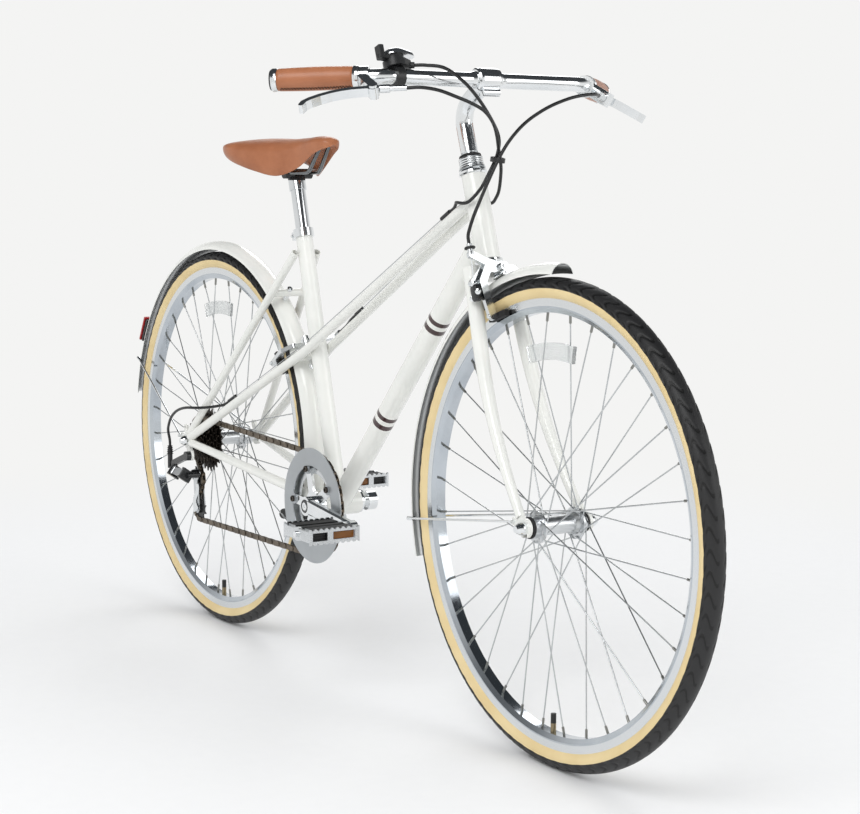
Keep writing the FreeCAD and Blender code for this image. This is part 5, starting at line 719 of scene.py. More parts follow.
def nugget(half: Triple, power: float = 0.5, steps: int = 16) -> Surface:
    """Rounded block: half sizes times cosines and sines of two angles, raised to a power with sign.

    Args:
        half: Half sizes along the three axes.
        power: One for an ellipsoid, less for a squarer block.
        steps: Points from pole to pole.

    Returns:
        The closed block.
    """
    turn = np.linspace(-np.pi, np.pi, 2 * steps, endpoint=False)[:, None]
    rise = np.linspace(-np.pi / 2, np.pi / 2, steps + 1)[None, :]
    c, s, e, f = (np.sign(value) * np.abs(value) ** power
                  for value in (np.cos(turn), np.sin(turn), np.cos(rise), np.sin(rise)))
    spots = np.broadcast_arrays(half[0] * c * e, half[1] * s * e, half[2] * f)
    return Surface.grid(np.stack(spots, -1), wrap_rows=True)


def flank(distance: Array, half: float, head: float) -> Array:
    """One close by, falling in a straight line to zero at head times the half width."""
    return np.clip(head - distance / half, 0, 1)


# Colours, roughness, ripple and coat shared by all white enamel; the ripple is wider than life to show.
ENAMEL = {"colour": "#efefea", "second": "#e9eae5", "roughness": (0.16, 0.22),
          "grain": Grain.ORANGE_PEEL, "grain_mm": 9.0, "relief_mm": 0.012, "coat": 0.5}


class Finishes:
    """The bicycle's materials, each made once."""

    def __init__(self) -> None:
        """Make every material that more than one sub-assembly uses."""
        # Baked white enamel: a glossy clean white with a faint sprayed ripple.
        self.white = Finish("baked_white_enamel", **ENAMEL).make()
        # Polished aluminium: a bright, slightly cool mirror with soft buffing marks.
        self.polished = Finish("polished_aluminium", "#eceeef", "#e2e5e7", (0.09, 0.18),
                               Grain.POLISHED, 3.0, 0.008, metallic=1.0).make()
        # Satin aluminium: tumbled and clear coated, so its highlights are broad.
        self.satin = Finish("satin_aluminium", "#dcdee0", "#d0d3d5", (0.26, 0.38),
                            Grain.CAST, 1.2, 0.015, metallic=1.0).make()
        # Chromed steel: the sharpest mirror on the bicycle.
        self.chrome = Finish("chromed_steel", "#ebedee", "#e3e6e8", (0.05, 0.10),
                             Grain.POLISHED, 5.0, 0.005, metallic=1.0).make()
        # Blackened steel: brown-black, oily, with worn grey on it.
        self.blackened = Finish("blackened_steel", "#3a3531", "#4b443d", (0.30, 0.48),
                                Grain.CAST, 1.4, 0.02, 14.0, 0.85).make()
        # Oiled chain steel: a brown-grey sheen.
        self.chain = Finish("oiled_chain_steel", "#74695c", "#574e43", (0.28, 0.42),
                            Grain.CAST, 1.6, 0.02, 9.0, 0.9).make()
        # Black lacquered metal: deep black with a satin gloss.
        self.black_metal = Finish("black_lacquered_metal", "#17181a", "#1d1e20", (0.24, 0.34),
                                  Grain.ORANGE_PEEL, 1.6, 0.012, coat=0.2).make()
        # Moulded black nylon: matt, with a fine pebble from the mould.
        self.plastic = Finish("moulded_black_nylon", "#1a1b1c", "#222324", (0.40, 0.55),
                              Grain.MOULDED, 0.9, 0.03).make()
        # Cable housing vinyl: smooth black with a soft gloss.
        self.housing = Finish("black_cable_vinyl", "#141516", "#1a1b1c", (0.30, 0.40),
                              Grain.ORANGE_PEEL, 1.2, 0.01).make()
        # Black rubber: matt and slightly dusty.
        self.rubber = Finish("black_rubber", "#1d1d1e", "#272728", (0.60, 0.75),
                             Grain.CAST, 1.0, 0.03).make()
        # Anodised aluminium disc: even grey with fine turning marks.
        self.anodised = Finish("anodised_grey_disc", "#b3b7ba", "#abafb2", (0.30, 0.42),
                               Grain.BRUSHED, 0.8, 0.01, metallic=0.75).make()
        # Tanned leather: warm mid brown, lighter where it stretches over the form.
        self.leather = Leather("tanned_brown_leather", "#b0704c", "#a26340", (0.30, 0.46),
                               Grain.MOULDED, 0.8, 0.05, 38.0).make()
        # Waxed lacing thread: dark brown and dull.
        self.thread = Finish("waxed_dark_thread", "#26150d", "#1d0f09", (0.55, 0.7),
                             Grain.CAST, 0.6, 0.05).make()
        # Amber acrylic reflector: deep orange-brown prisms.
        self.amber = Lens("amber_acrylic_prisms", "#86520f", "#74440b", (0.08, 0.2),
                          relief_mm=0.6, transmission=0.15, ior=1.49).make()
        # Clear acrylic reflector: colourless prisms that flash white.
        self.clear = Lens("clear_acrylic_prisms", "#f6f8f8", "#eef1f1", (0.05, 0.14),
                          relief_mm=0.4, transmission=0.85, ior=1.49).make()
        # Rail steel: grey and half dark, painted shade for wire that lies in shade under the saddle.
        self.shade_darkened_rail_steel = Finish("rail_steel_grey_painted_shade", "#7f8284", "#6f7274", (0.18, 0.28),
                            Grain.POLISHED, 3.0, 0.006, metallic=1.0).make()


@dataclass
class SubAssembly:
    """A group of pieces that share a body or a purpose, with the shared materials at hand."""

    finishes: Finishes

    def dress(self, material: Material, *nodes: str) -> None:
        """Give a material to CAD nodes.

        Args:
            material: The finish.
            nodes: Names of the nodes.
        """
        for node in nodes:
            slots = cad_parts[node].data.materials
            slots.clear()
            slots.append(material)
            LOG.info("dressed %s in %s", node, material.name)


@dataclass
class Wheel(SubAssembly):
    """One wheel: its tyre is built anew, and its rim, spokes, hub and reflector are dressed."""

    end: str
    axle: Array
    section_radius: float = 17.5
    centre_radius: float = 328.5
    wall: float = 2.5
    bead_angle: float = 136.0
    wall_edge: float = 330.8
    tread_rise: float = 0.9
    tread_angle: float = 84.0
    tread_slope: float = 5.0
    rib_rise: float = 0.5
    rib_angle: float = 77.0
    rib_width: float = 3.5
    groove_depth: float = 1.3
    nipple_radius: float = 284.0
    brake_track: float = 306.0
    seal_place: float = 43.6
    seal: Profile = ((5.4, 0.0), (14.4, 0.0), (15.4, 1.0), (15.4, 3.4), (14.4, 4.4), (5.4, 4.4),
                     (5.4, 0.0))
    steps: int = 924
    outside: int = 61
    inside: int = 19

    def tyre(self) -> None:
        """Tyre: a horseshoe section turned about the axle.

        The outside is a circle of the section radius about a ring of the centre radius, raised by
        the tread over the shoulders and cut by grooves that follow a sine across it; the inside is
        the same arc one wall thickness in. U runs round the wheel and V across it.
        """
        edge = np.radians(self.bead_angle)
        out = np.linspace(-edge, edge, self.outside)
        away = np.degrees(np.abs(out))
        tread = self.tread_rise * np.clip((self.tread_angle - away) / self.tread_slope, 0, 1)
        rib = self.rib_rise * np.exp(-((away - self.rib_angle) / self.rib_width) ** 2)
        radius = np.concatenate([self.section_radius - self.tread_rise + tread + rib,
                                 np.full(self.inside, self.section_radius - self.wall)])
        angle = np.concatenate([out, np.linspace(edge, -edge, self.inside)])
        turn = ring_angles(self.steps)[:, None]
        off = TREAD.middle * np.abs(out) / edge
        sway = TREAD.sway * np.sin(TREAD.wave * off)
        share = np.mod(turn / (2 * np.pi) * TREAD.grooves + sway, 1.0)
        hook = (flank(np.abs(share - 0.5), TREAD.hook_half, 1.6)
                * flank(np.abs(off - TREAD.shoulder), TREAD.hook_reach, 1.4))
        notch = (flank(np.minimum(share, 1 - share), TREAD.notch_half, 1.6)
                 * flank(np.abs(off - TREAD.border), TREAD.notch_reach, 1.5))
        depth = np.concatenate([self.groove_depth * np.maximum(hook, notch),
                                np.zeros((self.steps, self.inside))], 1)
        reach = self.centre_radius + (radius - depth) * np.cos(angle)
        left = (radius - depth) * np.sin(angle)
        spots = np.stack([reach * np.cos(turn), left, reach * np.sin(turn)], -1) + self.axle
        # Skin-wall tyre: a natural tan side and a matt black tread with cut grooves, painted near black
        # inside as shade.
        rubber = TyreRubber(self.end + "_skinwall_tyre_rubber", "#ead4a2", "#e2ca95", (0.52, 0.68),
                            Grain.CAST, 0.9, 0.4, other="#1e1e1f", other_roughness=0.5,
                            axle=tuple(self.axle), radius=self.wall_edge).make()
        piece = Surface.grid(spots, wrap_rows=True, wrap_columns=True).piece(
            self.end + "_tyre_skinwall", self.end + "_wheel", "tan_tyre", rubber, 50)
        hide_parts(self.end + "_tyre")

    def hub_seals(self) -> None:
        """Black dust seals on the hub's ends: low rings turned about the axle."""
        Surface.joined([
            lathe(self.seal).placed(self.axle + SIDE * side * self.seal_place, FORWARD, UP, SIDE * side)
            for side in SIDES
        ]).piece(self.end + "_hub_seals", self.end + "_wheel", "black_plastic", self.finishes.rubber)

    def build(self) -> None:
        """Build the tyre and the front hub's seals and dress the rest of the wheel."""
        self.tyre()
        axle = tuple(self.axle)
        # Stainless spokes with plated brass nipples that have darkened.
        spokes = WheelFinish(self.end + "_stainless_spokes", "#c9cccd", "#b9bcbe", (0.14, 0.24),
                             Grain.POLISHED, 2.0, 0.005, metallic=1.0, other="#8f8f8b",
                             other_metallic=1.0, other_roughness=0.3, axle=axle,
                             radius=self.nipple_radius).make()
        self.dress(spokes, self.end + "_spokes")
        # Extruded rim: a polished inner part whose darker blue-grey colour is painted dark reflection,
        # and paler sides turned for the brake pads.
        rim = WheelFinish(self.end + "_extruded_rim_aluminium", "#c3c9cf", "#b6bdc4", (0.08, 0.16),
                          Grain.POLISHED, 4.0, 0.006, metallic=1.0, other="#dee1e3",
                          other_metallic=1.0, other_roughness=0.2, axle=axle,
                          radius=self.brake_track).make()
        self.dress(rim, self.end + "_rim")
        self.dress(self.finishes.satin, self.end + "_hub")
        self.dress(self.finishes.clear, self.end + "_wheel_reflector")
        # Valve: brass stem out of the rubber tube, under a black cap.
        valve = WheelFinish(self.end + "_brass_valve_and_cap", "#1a1a1b", "#232324", (0.45, 0.6),
                            Grain.MOULDED, 0.9, 0.03, other="#93866c", other_metallic=1.0,
                            other_roughness=0.3, axle=axle, radius=self.nipple_radius).make()
        self.dress(valve, self.end + "_inner_tube")
        if self.end == "front":
            self.hub_seals()
        self.dress(self.finishes.chrome, self.end + "_axle")


@dataclass
class Seat(SubAssembly):
    """Saddle, rails, post and collar; a station gives place, half width, top and lip as shares."""

    rear: float = -374.7
    length: float = 278.0
    width: float = 168.0
    top: float = 896.0
    depth: float = 64.0
    rows: int = 90
    end_roll: float = 0.035
    clamp: Triple = (-225.0, 0.0, 823.0)
    stations: tuple[tuple[float, float, float, float], ...] = (
        (0.00, 0.48, 0.19, 0.47), (0.05, 0.79, 0.11, 0.50), (0.12, 0.98, 0.05, 0.55),
        (0.24, 1.00, 0.02, 0.69), (0.40, 0.81, 0.03, 0.88), (0.55, 0.54, 0.05, 1.00),
        (0.72, 0.35, 0.03, 0.80), (0.86, 0.28, 0.00, 0.48), (0.95, 0.21, 0.03, 0.34),
        (1.00, 0.10, 0.14, 0.30))

    def saddle(self) -> None:
        """Saddle: closed sections from rear to nose.

        Each section runs from the lip up the skirt, over a rounded crown, down the other skirt and
        back along a hollow underside. Both ends shrink to a point on a quarter circle.
        """
        rows = np.linspace(0, 1, self.rows)
        curve = smooth_path(np.array(self.stations), 24)
        half, top, low = (np.interp(rows, curve[:, 0], curve[:, column]) for column in (1, 2, 3))
        half = half * self.width / 2
        top, low = self.top - top * self.depth, self.top - low * self.depth
        shoulder = top - (top - low) * 0.30
        belly = shoulder - (shoulder - low) * 0.5
        crown = top - (top - shoulder) * 0.36
        lip = half * 0.80
        hollow = low + np.minimum(lip * 0.6, (top - low) * 0.5)
        inner = low + (hollow - low) * 0.7
        left = np.stack([lip, half * 0.9, half * 0.985, half * 0.95, half * 0.62, half * 0,
                         half * -0.62, half * -0.95, half * -0.985, half * -0.9, -lip,
                         lip * -0.6, half * 0, lip * 0.6], 1)
        up = np.stack([low + 0.6, low, belly, shoulder, crown, top, crown, shoulder, belly, low,
                       low + 0.6, inner, hollow, inner], 1)
        x = np.broadcast_to((self.rear + self.length * rows)[:, None], left.shape)
        keys = np.stack([x, left, up], -1)
        closed = np.concatenate([keys[:, -1:], keys, keys[:, :2]], 1)
        spots = spans(closed, 6).reshape(len(rows), -1, 3)
        middle = spots.mean(1, keepdims=True)
        edge = np.clip(np.minimum(rows, 1 - rows) / self.end_roll, 0, 1)
        spots = middle + (spots - middle) * np.sqrt(1 - (1 - edge) ** 2)[:, None, None]
        piece = Surface.grid(spots, wrap_columns=True).piece(
            "saddle_leather", "seat", "brown_leather", self.finishes.leather, 60)
        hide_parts("saddle")

    def build(self) -> None:
        """Build the saddle and dress its carriers."""
        self.saddle()
        # Chromed post under a black lacquered rail clamp.
        post = PlaneFinish("chromed_seat_post", "#dfe1e3", "#d6d9db", (0.05, 0.11), Grain.POLISHED,
                           5.0, 0.005, metallic=1.0, other="#17181a", other_roughness=0.35,
                           point=self.clamp).make()
        self.dress(post, "seat_post")
        # Rails in steel darkened grey: painted shade under the saddle.
        self.dress(self.finishes.shade_darkened_rail_steel, "saddle_rails")
        self.dress(self.finishes.polished, "seat_collar")


@dataclass
class GripPlace:
    """Directions at one grip: outwards along the bar, towards the lever, and across both."""

    side: int
    bar_corner: Triple = (346.06, 171.5, 966.7)
    bar_end: Triple = (239.06, 290.0, 961.7)
    lever_tilt: float = 30.0
    seam_turn: float = 28.0

    def __post_init__(self) -> None:
        """Work the directions out from the bar's corner and end."""
        corner, end = (np.array(spot) * (1, self.side, 1) for spot in (self.bar_corner, self.bar_end))
        self.length = float(np.linalg.norm(end - corner))
        self.along = (end - corner) / self.length
        ahead = np.cross(self.along, UP) * self.side
        ahead /= np.linalg.norm(ahead)
        tilt = math.radians(self.lever_tilt)
        flat = ahead * math.cos(tilt) - UP * math.sin(tilt)
        self.lever = flat - self.along * (flat @ self.along)
        self.lever /= np.linalg.norm(self.lever)
        self.hinge = np.cross(self.along, self.lever)
        self.corner = corner
        self.seam = math.radians(self.seam_turn) * self.side

    def carry(self, surface: Surface, grip_length: float) -> Surface:
        """Put a surface drawn along Z on the bar, its foot where a grip of a length begins."""
        origin = self.corner + self.along * (self.length - grip_length)
        return surface.placed(origin, self.lever, self.hinge, self.along)


@dataclass
class Cockpit(SubAssembly):
    """Handlebar, stem, grips, levers, shifter and the cables that leave them."""

    grip_length: float = 125.0
    ring_width: float = 8.0
    grip_radius: float = 15.7
    grip_swell: float = 1.0
    bore: float = 11.5
    seam_depth: float = 1.1
    stitch_pitch: float = 4.4
    stitch_swing: float = 0.17
    screw_turn: float = 0.9
    screw: Profile = ((0, 0.2), (1.0, 0.2), (1.1, 0.9), (2.0, 0.9), (2.2, 0.5), (2.2, -1.5), (0, -1.5))
    plug_end: Profile = ((0, 3.6), (9, 3.4), (14.0, 2.4), (15.2, 0.6), (15.2, -0.4), (0, -0.4))
    housing_radius: float = 2.5
    brake_route: Route = (
        (396.5, -164.7, 948.9), (409.9, -149.9, 949.5), (420.5, -128.7, 945.9), (426.5, -104.7, 937.9),
        (426.5, -79.7, 929.9), (422.5, -54.7, 919.9), (410.5, -31.7, 904.9), (394.5, -13.7, 887.9),
        (380.4, -0.2, 867.3), (376.4, 5.8, 851.3), (366.4, 13.8, 836.3), (346.4, 24.8, 811.3),
        (332.4, 28.8, 798.3), (318.4, 29.8, 790.3), (298.4, 19.8, 789.3), (281.0, 10.5, 783.0),
        (270.4, 10.8, 777.3))
    gear_route: Route = (
        (347.2, -122.2, 983.7), (356.8, -109.4, 983.7), (373.2, -88.2, 979.7), (390.2, -66.2, 959.7),
        (396.2, -42.2, 932.7), (387.2, -12.2, 900.7), (378.2, 1.8, 881.7), (370.4, 5.2, 864.3),
        (366.4, 2.2, 850.3), (364.4, -6.8, 832.3), (360.4, -17.8, 811.3), (337.4, -23.8, 792.3),
        (310.4, -24.8, 791.3), (294.4, -15.8, 790.3), (281.0, -10.5, 783.0), (270.4, -10.8, 777.3))
    clip_place: Triple = (377.2, 0.4, 853.0)
    clip_half: Pair = (14.2, 8.4)
    clip_section: Profile = ((0.0, -3.6), (1.6, -3.6), (2.0, -3.0), (2.0, 3.0), (1.6, 3.6), (0.0, 3.6))
    shifter_foot: Triple = (346.06, -150.0, 966.7)
    shifter_forward: Triple = (0.9397, 0.0, 0.342)
    shifter_up: Triple = (-0.342, 0.0, 0.9397)
    cap_level: float = 29.6
    cap_rise: float = 11.5
    cap_split: Triple = (335.9, -150.0, 994.5)

    @property
    def leather_end(self) -> float:
        """Where the leather stops and the outer ring begins."""
        return self.grip_length - self.ring_width

    def sleeve(self, place: GripPlace) -> Surface:
        """Leather of one grip, closed by its bore.

        Its radius swells with a sine along the grip and dips in a bell-shaped groove at the seam.

        Args:
            place: Directions at the grip.

        Returns:
            The sleeve along Z.
        """
        t = np.linspace(0, 1, 49)[:, None]
        angle = ring_angles(64)[None, :]
        off = np.angle(np.exp(1j * (angle - place.seam)))
        dip = self.seam_depth * np.exp(-(off / 0.10) ** 2)
        end_roll = np.clip(1 - np.minimum(t, 1 - t) / 0.02, 0, 1) ** 2
        radius = self.grip_radius + self.grip_swell * np.sin(np.pi * t) - dip - end_roll
        low, high = self.ring_width, self.leather_end
        level = np.broadcast_to(low + (high - low) * t, radius.shape)
        outer, inner = (np.stack([size * np.cos(angle), size * np.sin(angle), level], -1)
                        for size in (radius, np.broadcast_to(self.bore, radius.shape)))
        return Surface.grid(np.concatenate([outer, inner[::-1]]), wrap_rows=True, wrap_columns=True)

    def rings(self, place: GripPlace) -> Surface:
        """Bright end rings of one grip, each with a small screw: turned profiles.

        Args:
            place: Directions at the grip.

        Returns:
            Rings and screws along Z.
        """
        feet = (0.0, self.leather_end)
        width = self.ring_width
        section = ((11.3, 0.0), (15.6, 0.0), (16.4, 0.8), (16.4, width - 0.8), (15.8, width),
                   (11.3, width), (11.3, 0.0))
        turn = place.seam + self.screw_turn
        out = np.array([math.cos(turn), math.sin(turn), 0.0])
        bands = [lathe(section, 64).placed(UP * foot, FORWARD, SIDE, UP) for foot in feet]
        screws = [lathe(self.screw, 20).placed(out * 16.2 + UP * (foot + width / 2), UP,
                                               np.cross(UP, out), out) for foot in feet]
        return Surface.joined(bands + screws)

    def plug(self) -> Surface:
        """Domed plug in the end of one grip: a turned profile along Z."""
        return lathe(self.plug_end).placed(UP * self.grip_length, FORWARD, SIDE, UP)

    def lacing(self, place: GripPlace) -> Surface:
        """Lacing of one grip: a tube that swings across the seam as a triangle wave.

        Args:
            place: Directions at the grip.

        Returns:
            The lacing along Z.
        """
        count = int((self.leather_end - self.ring_width - 6) / self.stitch_pitch) * 2
        k = np.arange(count + 1)
        turn = place.seam + np.where(k % 2 == 0, -1.0, 1.0) * self.stitch_swing
        radius = self.grip_radius + self.grip_swell * np.sin(np.pi * k / count) - 0.1
        level = self.ring_width + 3 + self.stitch_pitch / 2 * k
        zigzag = np.stack([radius * np.cos(turn), radius * np.sin(turn), level], -1)
        return tube(zigzag, 0.85, 6, (0.9, 0.3, 0.3))

    def grips(self) -> None:
        """Build both grips as four pieces."""
        own = self.finishes
        looks = (("grip_leather", "brown_leather", own.leather, 40),
                 ("grip_rings", "polished_alloy", own.polished, 40),
                 ("grip_plugs", "black_plastic", own.plastic, 40),
                 ("grip_lacing", "brown_leather", own.thread, 80))
        sides = []
        for place in (GripPlace(side) for side in SIDES):
            parts = (self.sleeve(place), self.rings(place), self.plug(), self.lacing(place))
            sides.append([place.carry(part, self.grip_length) for part in parts])
        for both, (name, slot, material, flat_angle) in zip(zip(*sides), looks):
            piece = Surface.joined(list(both)).piece(name, "steering", slot, material, flat_angle)
            if name == "grip_leather":
                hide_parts("grips")

    def control_cables(self) -> None:
        """Housings from the right lever and the shifter to the frame: circles along smooth curves.

        They follow the steering down to the clip and then turn smoothly into the frame's stops.
        """
        tubes = [tube(smooth_path(np.array(route)), self.housing_radius, 16)
                 for route in (self.brake_route, self.gear_route)]
        piece = Surface.joined(tubes).piece(
            "rear_brake_and_gear_housings", "", "black_plastic", self.finishes.housing)
        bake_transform(piece)
        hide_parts("control_cables")

    def cable_clip(self) -> None:
        """Clip round the three housings: a rounded band carried round an ellipse."""
        angle = ring_angles(48)[:, None]
        wall, level = np.array(self.clip_section).T[:, None]
        wide, deep = self.clip_half
        spots = np.stack(np.broadcast_arrays((wide + wall) * np.cos(angle),
                                             (deep + wall) * np.sin(angle), level), -1)
        along = np.array([0.94, -0.34, 0.0])
        up = np.array([0.12, 0.06, 0.99])
        along = along - up * (along @ up) / (up @ up)
        along /= np.linalg.norm(along)
        up /= np.linalg.norm(up)
        band = Surface.grid(spots, wrap_rows=True, wrap_columns=True)
        band.placed(np.array(self.clip_place), along, np.cross(up, along), up).piece(
            "cable_clip", "steering", "black_plastic", self.finishes.plastic)

    def shifter_cap(self) -> None:
        """Domed shifter cap: a teardrop outline that shrinks by a cosine as it rises by a sine."""
        angle = ring_angles(72)
        head, tail, reach = 18.4, 9.0, 24.0
        in_tail = reach * np.sin(angle) + tail > head
        radius = np.where(in_tail, tail, head)
        outline = np.stack([radius * np.cos(angle), radius * np.sin(angle) + reach * in_tail,
                            0 * angle], -1)
        v = np.concatenate([[0.0], np.linspace(0, np.pi / 2, 14)])[:, None, None]
        size = np.cos(v) ** 0.75
        size[0] = 0.0
        middle = SIDE * 6.0
        spots = middle + (outline - middle) * size + UP * self.cap_rise * np.sin(v)
        up = np.array(self.shifter_up)
        Surface.grid(spots, wrap_columns=True).placed(
            np.array(self.shifter_foot) + up * self.cap_level, np.array(self.shifter_forward), SIDE, up
        ).piece("shifter_cap", "steering", "polished_alloy", self.finishes.polished, 60)

    def build(self) -> None:
        """Build the grips and cables and dress the rest of the cockpit."""
        self.grips()
        self.control_cables()
        self.cable_clip()
        self.shifter_cap()
        self.dress(self.finishes.polished, "stem", "handlebar", "lever_brackets", "left_lever",
                   "right_lever")
        # Shifter: black nylon base under a bright domed cap.
        shifter = PlaneFinish("shifter_nylon_and_cap", "#1a1b1c", "#222324", (0.35, 0.5),
                              Grain.MOULDED, 0.9, 0.02, other="#d6d8da", other_metallic=1.0,
                              other_roughness=0.16, point=self.cap_split,
                              normal=self.shifter_up).make()
        self.dress(shifter, "shifter_body")
        self.dress(self.finishes.plastic, "shift_lever")
        self.dress(self.finishes.housing, "front_brake_cable")


@dataclass
class FrameSet(SubAssembly):
    """Frame, fork, headset, mudguards and fittings on the frame."""

    down_tube: Triple = (0.68228, 0.0, 0.73110)
    bands: Profile = ((446.0, 454.0), (429.0, 438.0), (225.0, 233.5), (206.0, 216.0))
    wires: tuple[Box, ...] = (((-359.0, -60.0, 300.0), (249.0, 0.0, 900.0)),
                              ((-34.0, 0.0, 300.0), (249.0, 60.0, 900.0)))
    seal_level: float = 556.5
    seal: Profile = ((11.4, -2.0), (15.6, -2.0), (16.6, -0.8), (16.2, 1.6), (14.6, 2.6), (11.4, 2.8),
                     (11.4, -2.0))
    lens_radius: float = 374.0
    kickstand_foot: Triple = (-350.0, 60.0, 220.0)
    kickstand_along: Triple = (-0.979, 0.135, -0.150)

    def headset_ring(self) -> None:
        """Black seal on the locknut round the stem: a low ring turned about the steering axis."""
        place = STEER_FOOT + STEER_UP * self.seal_level
        lathe(self.seal, 64).placed(place, STEER_FORWARD, SIDE, STEER_UP).piece(
            "headset_seal", "steering", "black_plastic", self.finishes.rubber)

    def build(self) -> None:
        """Add the headset's seal and dress frame, fork, mudguards and fittings."""
        self.headset_ring()
        # Baked white enamel with plain dark brown bands on the down tube.
        enamel = BandedEnamel("banded_white_enamel", **ENAMEL, other="#3a2020", other_roughness=0.25,
                              start=tuple(BRACKET), along=self.down_tube, bands=self.bands).make()
        self.dress(enamel, "frame")
        self.dress(self.finishes.white, "fork")
        for end, axle in ENDS:
            # Mudguard steel: enamelled outside, plated inside, where it mirrors the tyre.
            guard = FenderEnamel(end + "_mudguard_enamel", **ENAMEL, other="#c6c8c8",
                                 other_metallic=1.0, other_roughness=0.34, axle=tuple(axle)).make()
            self.dress(guard, end + "_fender")
            self.dress(self.finishes.chrome, end + "_fender_stays")
        self.dress(self.finishes.polished, "bearing_cups")
        # Headset nuts: polished steel with turned grooves.
        nuts = RibbedAlloy("grooved_steel_nuts", "#e6e9ea", "#dcdfe1", (0.12, 0.24), Grain.POLISHED,
                           3.0, 0.5, metallic=1.0, along=tuple(STEER_UP)).make()
        self.dress(nuts, "headset_nuts")
        # Rear reflector: red acrylic prisms on a black base.
        lens = WheelFinish("red_acrylic_reflector", "#17181a", "#1c1d1f", (0.3, 0.4), Grain.MOULDED,
                           3.0, 0.25, other="#a5161a", other_roughness=0.12, axle=tuple(REAR_AXLE),
                           radius=self.lens_radius).make()
        self.dress(lens, "rear_reflector")
        # Cables on the frame: black vinyl housing and stops, bare steel wire between the stops.
        cables = BoxFinish("black_vinyl_and_steel_wire", "#141516", "#1a1b1c", (0.3, 0.4),
                           Grain.ORANGE_PEEL, 1.2, 0.01, other="#c3c6c8", other_metallic=1.0,
                           other_roughness=0.25, boxes=self.wires).make()
        self.dress(cables, "frame_cables")
        # Kickstand: satin leg with a black rubber foot.
        leg = PlaneFinish("kickstand_aluminium", "#c3c6c8", "#b8bbbd", (0.2, 0.32), Grain.CAST, 1.4,
                          0.015, metallic=1.0, other="#1a1b1c", other_roughness=0.6,
                          point=self.kickstand_foot, normal=self.kickstand_along).make()
        self.dress(leg, "kickstand_leg")


@dataclass
class Brakes(SubAssembly):
    """Front and rear side-pull brakes."""

    pad_radius: float = 330.0
    ring_place: Triple = (379.6, -48.0, 727.8)
    ring: Profile = ((5.0, -1.5), (7.4, -1.5), (8.0, -0.9), (8.0, 0.9), (7.4, 1.5), (5.0, 1.5),
                     (5.0, -1.5))
    wire_ends: Box = ((383.0, -48.0, 717.0), (391.0, -48.4, 677.0))
    block_place: Triple = (397.0, -48.0, 664.5)
    block_half: Triple = (7.5, 6.0, 12.5)
    bolt: Profile = ((0, 3.6), (2.4, 3.4), (4.2, 2.4), (4.6, 0.6), (4.6, -4.0), (0, -4.0))
    bolt_places: Route = ((391.0, -50.0, 656.0), (393.5, -50.5, 677.0), (404.5, -50.0, 667.0))
    bolt_facing: Triple = (0.78, -0.62, 0.0)

    def fittings(self) -> None:
        """Front cable fittings on the arms that carry them: adjuster ring, wire, block and bolts."""
        near, far = "front_brake_arm_cable_side", "front_brake_arm_far_side"
        axes = (STEER_FORWARD, SIDE, STEER_UP)
        lathe(self.ring, 40).placed(np.array(self.ring_place), *axes).piece(
            "front_adjuster_ring", near, "black_plastic", self.finishes.rubber)
        tube(np.linspace(*self.wire_ends, 6), 0.9, 10).piece(
            "front_brake_wire", far, "steel", self.finishes.chrome)
        nugget(self.block_half).placed(np.array(self.block_place), *axes).piece(
            "front_release_block", far, "black_metal", self.finishes.black_metal)
        facing = np.array(self.bolt_facing) / np.linalg.norm(self.bolt_facing)
        Surface.joined([lathe(self.bolt, 24).placed(np.array(spot), np.cross(UP, facing), UP, facing)
                        for spot in self.bolt_places]).piece(
            "front_anchor_bolts", far, "steel", self.finishes.chrome)

    def build(self) -> None:
        """Build the cable fittings and dress arms, pads and bolts."""
        self.fittings()
        for end, axle in ENDS:
            # Forged and polished brake arms with black rubber blocks beside the rim.
            arms = PadFinish(end + "_forged_arm_and_rubber", "#e4e7e8", "#d8dbdd", (0.12, 0.22),
                             Grain.POLISHED, 2.4, 0.008, metallic=1.0, other="#1a1a1b",
                             other_roughness=0.65, axle=tuple(axle), radius=self.pad_radius).make()
            self.dress(arms, end + "_brake_arm_cable_side", end + "_brake_arm_far_side")
            self.dress(self.finishes.chrome, end + "_brake_bolt")


